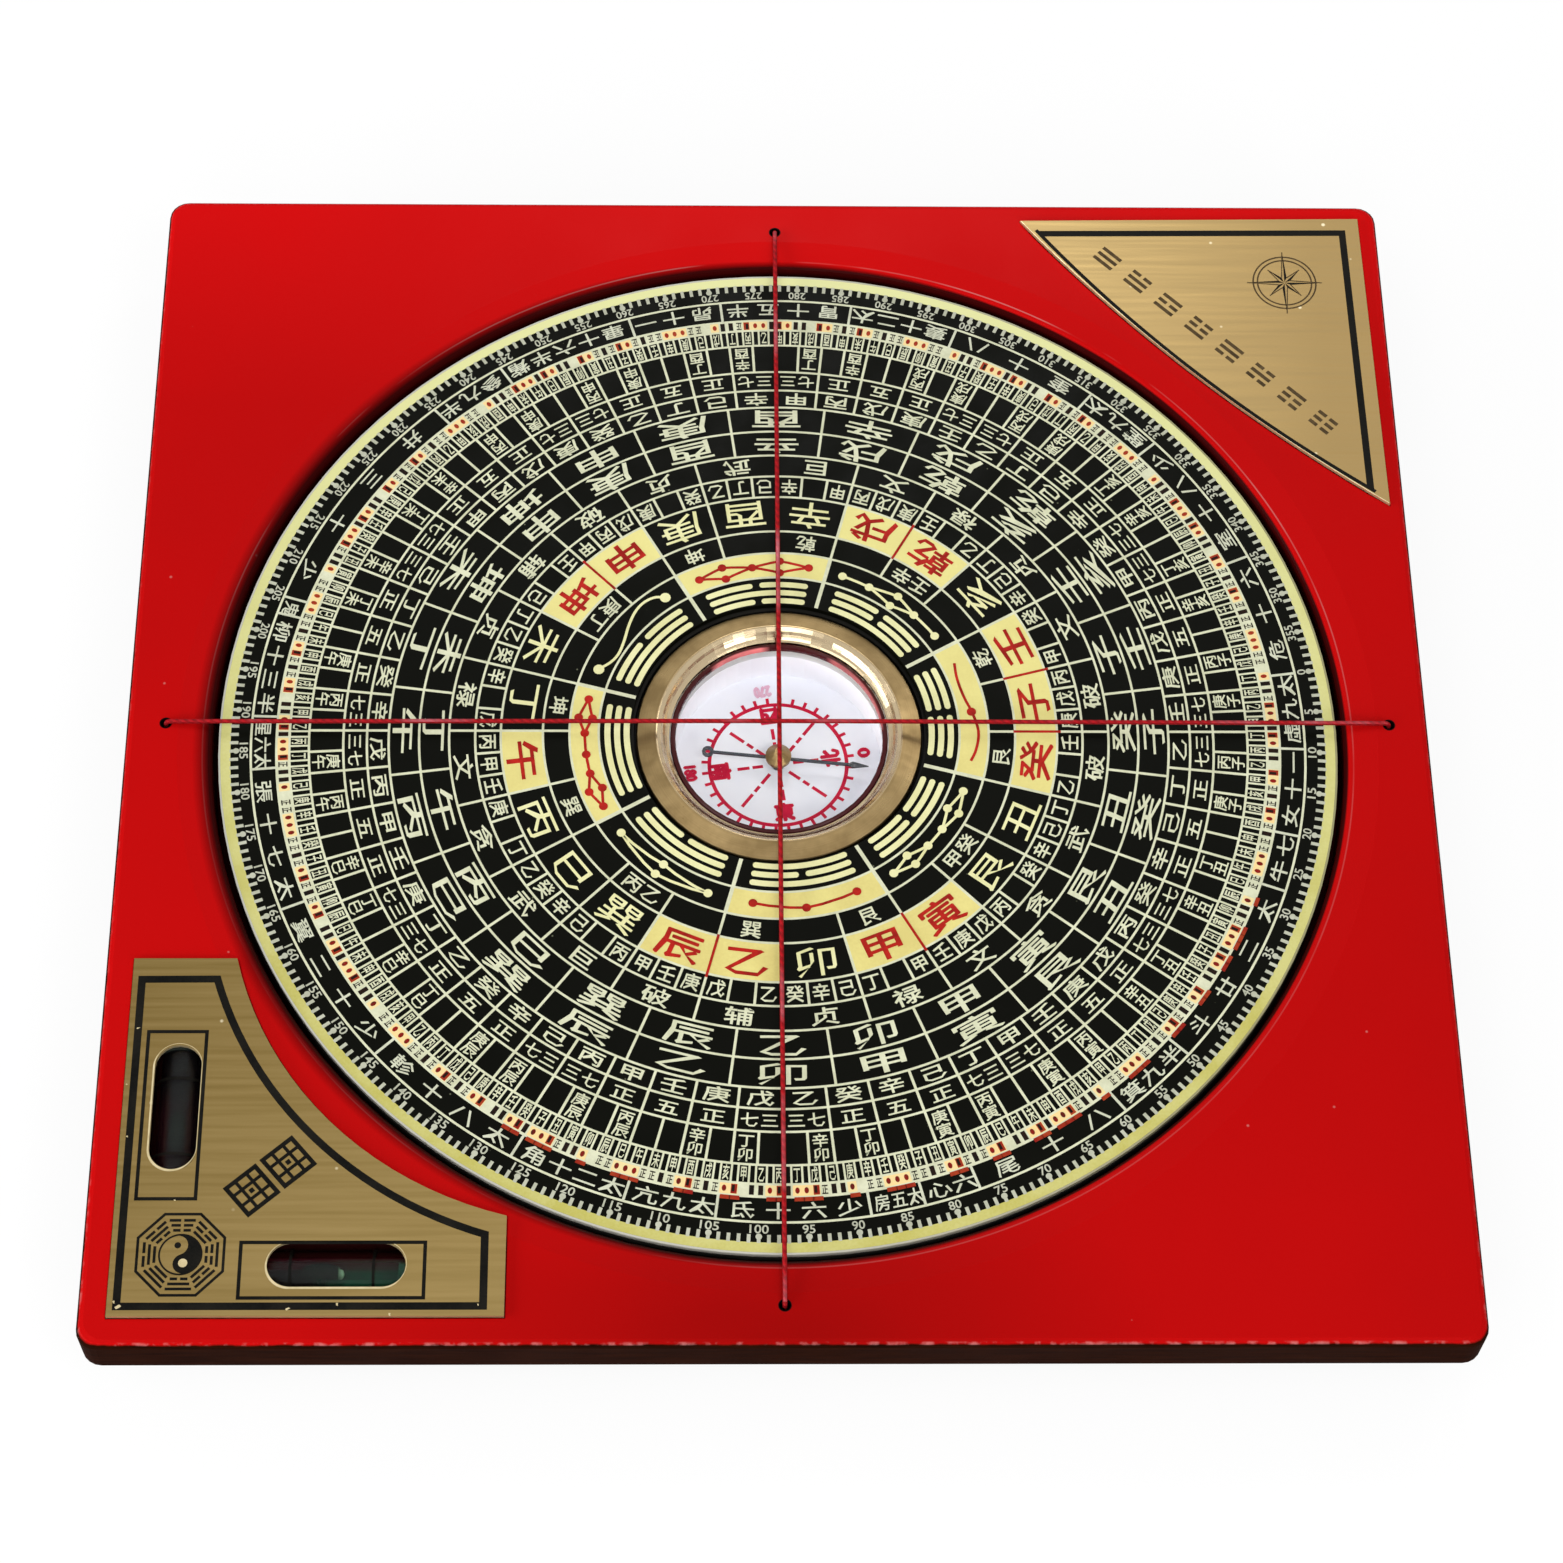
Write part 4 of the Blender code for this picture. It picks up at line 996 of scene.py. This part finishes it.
def goldFinish():
    place = startFinish("brushedGold", metal=0.75, roughness=plates["roughness"], shine=0.2)
    axes = axesOf(place)
    brushed = noise(objectCoords((40, 1400, 1)), 1.0, 4)
    drift = fade(noise(objectCoords((10, 130, 1)), 1.0, 3), 0.3, 0.7, -0.05, 0.05)
    # painted reflection and shade: the upper plate is the lighter one and darkens to its right; the lower
    # one lightens towards its near right end
    across = plus(fade(axes["X"], *plates["upperReflection"]), drift, clamp=True)
    down = plus(fade(minus(axes["X"], axes["Y"]), *plates["lowerReflection"]), drift, clamp=True)
    upper = mixColour(across, plates["upperLight"], plates["upperDeep"])
    lower = mixColour(down, plates["lowerLight"], plates["lowerDeep"])
    colour = mixColour(fade(axes["Y"], -0.01, 0.01), lower, upper)
    colour = mixColour(fade(brushed, 0.35, 0.75, 0.0, 0.15), colour, plates["streak"])
    colour = mixColour(specks(place, 260, 0.085, 0.7), colour, plates["speck"])
    colour = mixColour(fade(upward(), 0.6, 0.4), colour, plates["edge"])
    rough = fade(brushed, 0.3, 0.7, plates["roughness"] - 0.06, plates["roughness"] + 0.12)
    return endFinish(colour, rough, bumpFrom(brushed, 0.000015))


dress(goldFinish(), "corner_plate_level", "corner_plate_blank")
plateInk = printFinish("plateInk", *plates["ink"])
brownInk = printFinish("brownInk", *plates["brownInk"])
# cut metal for the eye, the nicks and the worn line, and for the painted highlight round the windows
cutMetalAndHighlight = twoToneFinish("cutMetalAndHighlight", *plates["cutEdgeAndHighlight"], metal=0.5, shine=0.3)


def makePlatePiece(name, sheet, material):
    makePiece(name, sheet, material, "board")


levelPrint = {
    "border": 0.95, "corners": ((-80.0, -79.9), (-35.5, -79.9)), "lastCorner": (-80.0, -35.9),
    "curve": ((-35.5, -69.8), (-70.0, -35.9), 80.7),  # its ends, and how far its crown is from the middle
    "frames": ((-78.4, -65.9, -70.8, -43.3), (-65.4, -78.6, -42.9, -71.1)), "frameLine": 0.44,
    "octagon": (-72.35, -72.85), "octagonApothem": 5.35, "octagonLine": 0.34,
    "bars": {"rows": ((3.10, 1.06), (3.74, 1.31), (4.38, 1.57)), "width": 0.35, "gap": 0.18},
    "signs": ("001", "100", "000", "010", "110", "111", "011", "101"),
    # disc of two halves: its radius, tilt and ring, then the radius of the dark and the bright eye
    "taiji": (2.48, 18, (2.43, 2.65), 0.40, 0.56),
    "windows": (((-53.65, -74.1), False), ((-74.25, -53.5), True)), "windowHalves": (8.35, 2.9),
    "bevelHighlight": (-0.02, 0.05, 0.24), "highlightAngle": 235,  # inside, outside, and the most that it grows by there
    "lattices": ((-60.1, -60.9), (-64.3, -64.6)),
    # a lattice's half width, turn, border line and bar line, then half of its middle block
    "lattice": (2.5, 41, 0.56, 0.42, 0.3),
    "nicks": ((-79.4, -79.4, 0.5), (-79.9, -78.9, 0.3), (-59.2, -79.7, 0.35), (-53.4, -79.2, 0.3),
              (-79.8, -57.6, 0.25), (-79.5, -43.0, 0.28), (-73.4, -65.9, 0.25), (-80.3, -50.6, 0.22),
              (-47.1, -80.5, 0.3), (-36.6, -79.3, 0.22)),
}


def diagonalCurve(first, last, crown, steps=24):
    # arc from one point to another across the diagonal of the lower plate, concave to the dial
    start, end = Vector(first), Vector(last)
    middle = (start + end) / 2
    rise = middle.length - crown
    radius = (((end - start).length / 2) ** 2 + rise ** 2) / (2 * abs(rise))
    centre = middle + middle.normalized() * (radius - rise if rise > 0 else -radius - rise)
    a0, a1 = (math.atan2(*(spot - centre).yx) for spot in (start, end))
    turn = (a1 - a0 + math.pi) % (2 * math.pi) - math.pi
    angles = [math.degrees(a0 + turn * n / steps) for n in range(steps + 1)]
    return moved(centre, [polar(radius, angle) for angle in angles])


def addBorder(sheet, outline, width, high):
    # line inside a closed outline whose corners run anticlockwise
    inside = []
    for n in range(len(outline)):
        before, here, after = (Vector(outline[k % len(outline)]) for k in (n - 1, n, n + 1))
        d1, d2 = (here - before).normalized(), (after - here).normalized()
        n1, n2 = Vector((-d1.y, d1.x)), Vector((-d2.y, d2.x))
        shared = n1 + n2
        inside.append(here + shared * (width / max(0.2, shared.dot(n1))))
    addStrip(sheet, outline, inside, high, closed=True)


def boxPoints(x0, y0, x1, y1):
    return [(x0, y0), (x1, y0), (x1, y1), (x0, y1)]


def addTrigram(sheet, centre, turn, look, bars, high):
    # bars square to the turn; a row is a distance out and half a length
    half = look["width"] / 2
    for (out, long), bar in zip(look["rows"], bars):
        for a, b in barSpans(bar, long, look["gap"]):
            addPlate(sheet, turned(centre, turn, boxPoints(out - half, a, out + half, b)), high)


def addTaiji(sheet, eyes, centre, look, high):
    # dark half on the right with its head low down, and the two eyes
    radius, turn, ring, darkEye, brightEye = look
    half = radius / 2
    outline = [polar(radius, -90 + 180 * n / 24) for n in range(25)]
    outline += moved((0, half), [polar(half, 90 - 180 * n / 12) for n in range(1, 13)])
    outline += moved((0, -half), [polar(half, 90 + 180 * n / 12) for n in range(1, 12)])
    addPlate(sheet, turned(centre, turn, outline), high)
    addHoop(sheet, centre, *ring, high + 0.004)
    addDisc(sheet, turned(centre, turn, [(0.0, half)])[0], darkEye, high)
    addDisc(eyes, turned(centre, turn, [(0.0, -half * 0.92)])[0], brightEye, high + 0.012)


def addLattice(sheet, centre, look, high):
    # small square window lattice
    half, turn, border, bar, block = look
    addBorder(sheet, turned(centre, turn, boxPoints(-half, -half, half, half)), border, high)
    end = half - block
    for place in (-half / 3, half / 3):
        addStroke(sheet, turned(centre, turn, [(-end, place), (end, place)]), bar, high + 0.003)
        addStroke(sheet, turned(centre, turn, [(place, -end), (place, end)]), bar, high + 0.006)
    addPlate(sheet, turned(centre, turn, boxPoints(-block, -block, block, block)), high + 0.009)


def slotOutline(centre, half, radius, alongY, spread):
    # outline of a slot with round ends, spread outwards by what the angle asks for
    outline = []
    for n in range(50):
        angle = -90 + 180 * (n % 25) / 24 + (0 if n < 25 else 180) + (90 if alongY else 0)
        shift = (half - radius) * (1 if n < 25 else -1)
        x, y = polar(radius + spread(angle), angle)
        outline.append((x, y + shift) if alongY else (x + shift, y))
    return moved(centre, outline)


def makeLevelPrint():
    sheet, eyes, bevelHighlights, nicks = (newSheet(plates["low"]) for _ in range(4))
    high, centre = plates["top"], levelPrint["octagon"]
    outline = [*levelPrint["corners"], *diagonalCurve(*levelPrint["curve"]), levelPrint["lastCorner"]]
    addBorder(sheet, outline, levelPrint["border"], high)
    for corners in levelPrint["frames"]:
        addBorder(sheet, boxPoints(*corners), levelPrint["frameLine"], high)
    outer = levelPrint["octagonApothem"] / math.cos(math.pi / 8)
    addBorder(sheet, moved(centre, ringPoints(outer, 8, 22.5)), levelPrint["octagonLine"], high)
    for n, bars in enumerate(levelPrint["signs"]):  # from the right, anticlockwise
        addTrigram(sheet, centre, 45 * n, levelPrint["bars"], bars, high)
    addTaiji(sheet, eyes, centre, levelPrint["taiji"], high)
    for centre in levelPrint["lattices"]:
        addLattice(sheet, centre, levelPrint["lattice"], high)
    # painted highlight: pale strips round the windows, widest at the lower left
    inner, outer, most = levelPrint["bevelHighlight"]
    for centre, alongY in levelPrint["windows"]:
        inside, outside = (slotOutline(centre, *levelPrint["windowHalves"], alongY, spread) for spread in (
            lambda angle: inner,
            lambda angle: outer + most * max(0, math.cos(math.radians(angle - levelPrint["highlightAngle"])))))
        addStrip(bevelHighlights, inside, outside, high, closed=True)
    for x, y, size in levelPrint["nicks"]:
        ragged = [polar(size * (0.55 + 0.45 * math.sin(5 * n + 9 * x)), 51.4 * n) for n in range(7)]
        addPlate(nicks, [(x + a, y + b * 0.8) for a, b in ragged], plates["over"])
    makePlatePiece("levelPlatePrint", sheet, plateInk)
    makePlatePiece("taijiEye", eyes, cutMetalAndHighlight)
    makePlatePiece("windowBevelHighlights", bevelHighlights, cutMetalAndHighlight)
    makePlatePiece("plateNicks", nicks, cutMetalAndHighlight)


makeLevelPrint()

blankPrint = {
    "corners": ((79.74, 79.63), (36.32, 79.29), (80.25, 36.08)), "topLine": 0.95, "longLine": 0.52,
    "bow": 2.4, "wornLine": 0.13, "wornEnds": ((34.45, 80.95), (82.05, 34.45)), "diagonal": (0.7071, 0.7071),
    "rowFrom": (46.2, 74.6), "rowTo": (74.2, 47.4),
    "bars": {"rows": ((-1.0, 1.65), (0.0, 1.65), (1.0, 1.65)), "width": 0.52, "gap": 0.28},
    "signs": ("111", "110", "101", "100", "011", "010", "001", "000"),
    "rose": (70.6, 70.6), "roseLong": 5.2, "roseShort": 3.1, "roseWaist": (0.83142, 0.34443),
    "roseRings": (4.35, 3.75), "roseLine": 0.22, "roseStroke": 0.14,
}


def bowed(start, end, sag):
    diagonal = Vector(blankPrint["diagonal"])
    return [start.lerp(end, n / 24) - diagonal * sag * 4 * n / 24 * (1 - n / 24) for n in range(25)]


def addRose(dark, fine, centre, high):
    # eight-point compass rose: each point has one dark half and one outlined half
    half = blankPrint["roseLine"] / 2
    for radius in blankPrint["roseRings"]:
        addHoop(fine, centre, radius - half, radius + half, high)
    out, aside = blankPrint["roseWaist"]
    for n in range(8):
        tip, lift = (blankPrint["roseShort"], 0.004) if n % 2 else (blankPrint["roseLong"], 0.008)
        addPlate(dark, turned(centre, 45 * n, [(0.1, 0), (out, -aside), (tip, 0)]), high + lift)
        point = turned(centre, 45 * n, [(out, aside), (tip, 0)])
        addStroke(fine, point, blankPrint["roseStroke"], high + lift)


def makeBlankPrint():
    sheet, brown, worn = (newSheet(plates["low"]) for _ in range(3))
    high, line, long = plates["top"], blankPrint["topLine"], blankPrint["longLine"]
    corner, left, right = (Vector(p) for p in blankPrint["corners"])
    top, side = (corner - left).normalized(), (right - corner).normalized()
    inward, inner = Vector((top.y, -top.x)), Vector((side.y, -side.x))
    topEnd = left + inward * line + top * line * 1.1
    sideEnd = right + inner * line - side * line * 1.1
    addPlate(sheet, [left, topEnd, corner + inward * line, corner], high)
    addPlate(sheet, [corner, corner + inner * line, sideEnd, right], high + 0.003)
    shift = Vector(blankPrint["diagonal"]) * long * 0.4
    addStroke(sheet, bowed(left + shift, right + shift, blankPrint["bow"]), long, high + 0.006)
    wornEnds = (Vector(p) for p in blankPrint["wornEnds"])
    addStroke(worn, bowed(*wornEnds, blankPrint["bow"]), blankPrint["wornLine"], high)
    start, end = Vector(blankPrint["rowFrom"]), Vector(blankPrint["rowTo"])
    for n, bars in enumerate(blankPrint["signs"]):
        addTrigram(brown, start.lerp(end, n / 7), 45, blankPrint["bars"], bars, high)
    addRose(sheet, brown, blankPrint["rose"], high)
    makePlatePiece("blankPlatePrint", sheet, plateInk)
    makePlatePiece("blankPlateSigns", brown, brownInk)
    makePlatePiece("blankPlateWear", worn, cutMetalAndHighlight)


makeBlankPrint()
print("plates dressed")


# spirit levels

levels = {
    "green": (0.020, 0.085, 0.052), "shade": (0.010, 0.007, 0.009), "redWallReflection": (0.075, 0.006, 0.012),
    "dimRed": (0.030, 0.007, 0.011), "tube": (0.93, 1.0, 0.96),
    # painted shade: the white plugs are coloured dark, as in the shade of the plate
    "plug": ((0.07, 0.07, 0.066), (0.045, 0.045, 0.042)),
    "bubbleClear": (0.012, 0.014, 0.012), "bubbleEndHighlight": (0.62, 0.92, 0.62),
    # where each colour starts and where it is full, in metres
    "greenX": (-0.0570, -0.0515), "wallX": (-0.0664, -0.0650), "wallY": (-0.0736, -0.0726),
    "dimX": (-0.0712, -0.0740), "dimY": (-0.0500, -0.0535), "bubbleHighlightX": (-0.0537, -0.0531),
    # lines round the vials, in millimetres
    "markRadii": (3.41, 3.44), "markHalf": 0.18, "axisHeight": 12.1, "row": -74.2, "marks": (-59.3, -49.3),
}


def liquidFinish():
    # green at the right end of the front vial, painted shade over the rest, painted reflection of the red
    # board along its far side, and dull red low in the side vial
    place = startFinish("levelLiquid", clear=0.3, bend=1.1, roughness=0.1, shine=0.4)
    axes = axesOf(place)
    run = plus(axes["X"], fade(noise(place, 700, 3), 0.3, 0.7, -0.0012, 0.0012))
    colour = mixColour(fade(run, *levels["greenX"]), levels["shade"], levels["green"])
    for wall, tint in (("wall", "redWallReflection"), ("dim", "dimRed")):
        share = times(fade(axes["Y"], *levels[wall + "Y"]), fade(axes["X"], *levels[wall + "X"]))
        colour = mixColour(share, colour, levels[tint])
    return endFinish(colour, normal=bumpFrom(noise(place, 500, 2), 0.00002, 0.3))


def bubbleFinish():
    # painted highlight at one end of the bubble
    place = startFinish("airBubble", clear=0.4, bend=1.15, roughness=0.08, shine=0.05)
    patches = fade(noise(place, 900, 2), 0.3, 0.6, 0.5, 1.0)
    lit = times(fade(axesOf(place)["X"], *levels["bubbleHighlightX"]), patches)
    return endFinish(mixColour(lit, levels["bubbleClear"], levels["bubbleEndHighlight"]))


def makeVialMarks(name, alongY):
    sheet = newSheet(0)
    for place in levels["marks"]:
        sheet["low"] = place - levels["markHalf"]
        rings = (ringPoints(radius, 30) for radius in levels["markRadii"])
        addStrip(sheet, *rings, place + levels["markHalf"], closed=True)
    row, height = levels["row"], levels["axisHeight"]
    sheet["points"] = [(row + x, run, height + y) if alongY else (run, row + x, height + y)
                       for x, y, run in sheet["points"]]
    makePiece(name, sheet, plateInk, "board")


dress(glassFinish("clearAcrylic", levels["tube"], 1.2), "front_vial_tube", "side_vial_tube")
dress(liquidFinish(), "front_vial_liquid", "side_vial_liquid")
dress(bubbleFinish(), "front_bubble", "side_bubble")
# painted shade on the white plugs
shadedPlug = twoToneFinish("shadedPlug", *levels["plug"], 300, 0.5, shine=0.1)
dress(shadedPlug, "front_vial_plug", "side_vial_plug")
makeVialMarks("frontVialMarks", False)
makeVialMarks("sideVialMarks", True)
print("levels dressed")


# sighting threads

thread = {"bright": (0.42, 0.006, 0.011), "deep": (0.16, 0.003, 0.005), "threadHighlight": (0.66, 0.22, 0.26),
          "twist": 900}  # turns in a metre


def threadFinish():
    place = startFinish("waxedThread", roughness=0.5, shine=0.10)
    axes, up, fuzz = axesOf(place), upward(), noise(place, 3500, 3)
    run = plus(plus(axes["X"], axes["Y"]), times(axes["Z"], 1.2))
    strand = calc("SINE", times(run, 2 * math.pi * thread["twist"]))
    tone = plus(fade(strand, -1, 1, 0.3, 0.9), fade(fuzz, 0.3, 0.7, -0.2, 0.2), clamp=True)
    # painted shade: the thread's sides are darker than its top
    colour = mixColour(times(tone, fade(up, 0.1, 0.8)), thread["deep"], thread["bright"])
    # painted highlight: pale pink patches on the top of the thread
    threadHighlight = times(fade(noise(place, 60, 3), 0.52, 0.7, 0.0, 0.7), fade(up, 0.7, 0.95))
    colour = mixColour(threadHighlight, colour, thread["threadHighlight"])
    return endFinish(colour, fade(fuzz, 0.3, 0.7, 0.42, 0.62), bumpFrom(strand, 0.00006, 0.6))


dress(threadFinish(), "thread_east_west", "thread_north_south")
print("threads dressed")

bpy.context.view_layer.update()
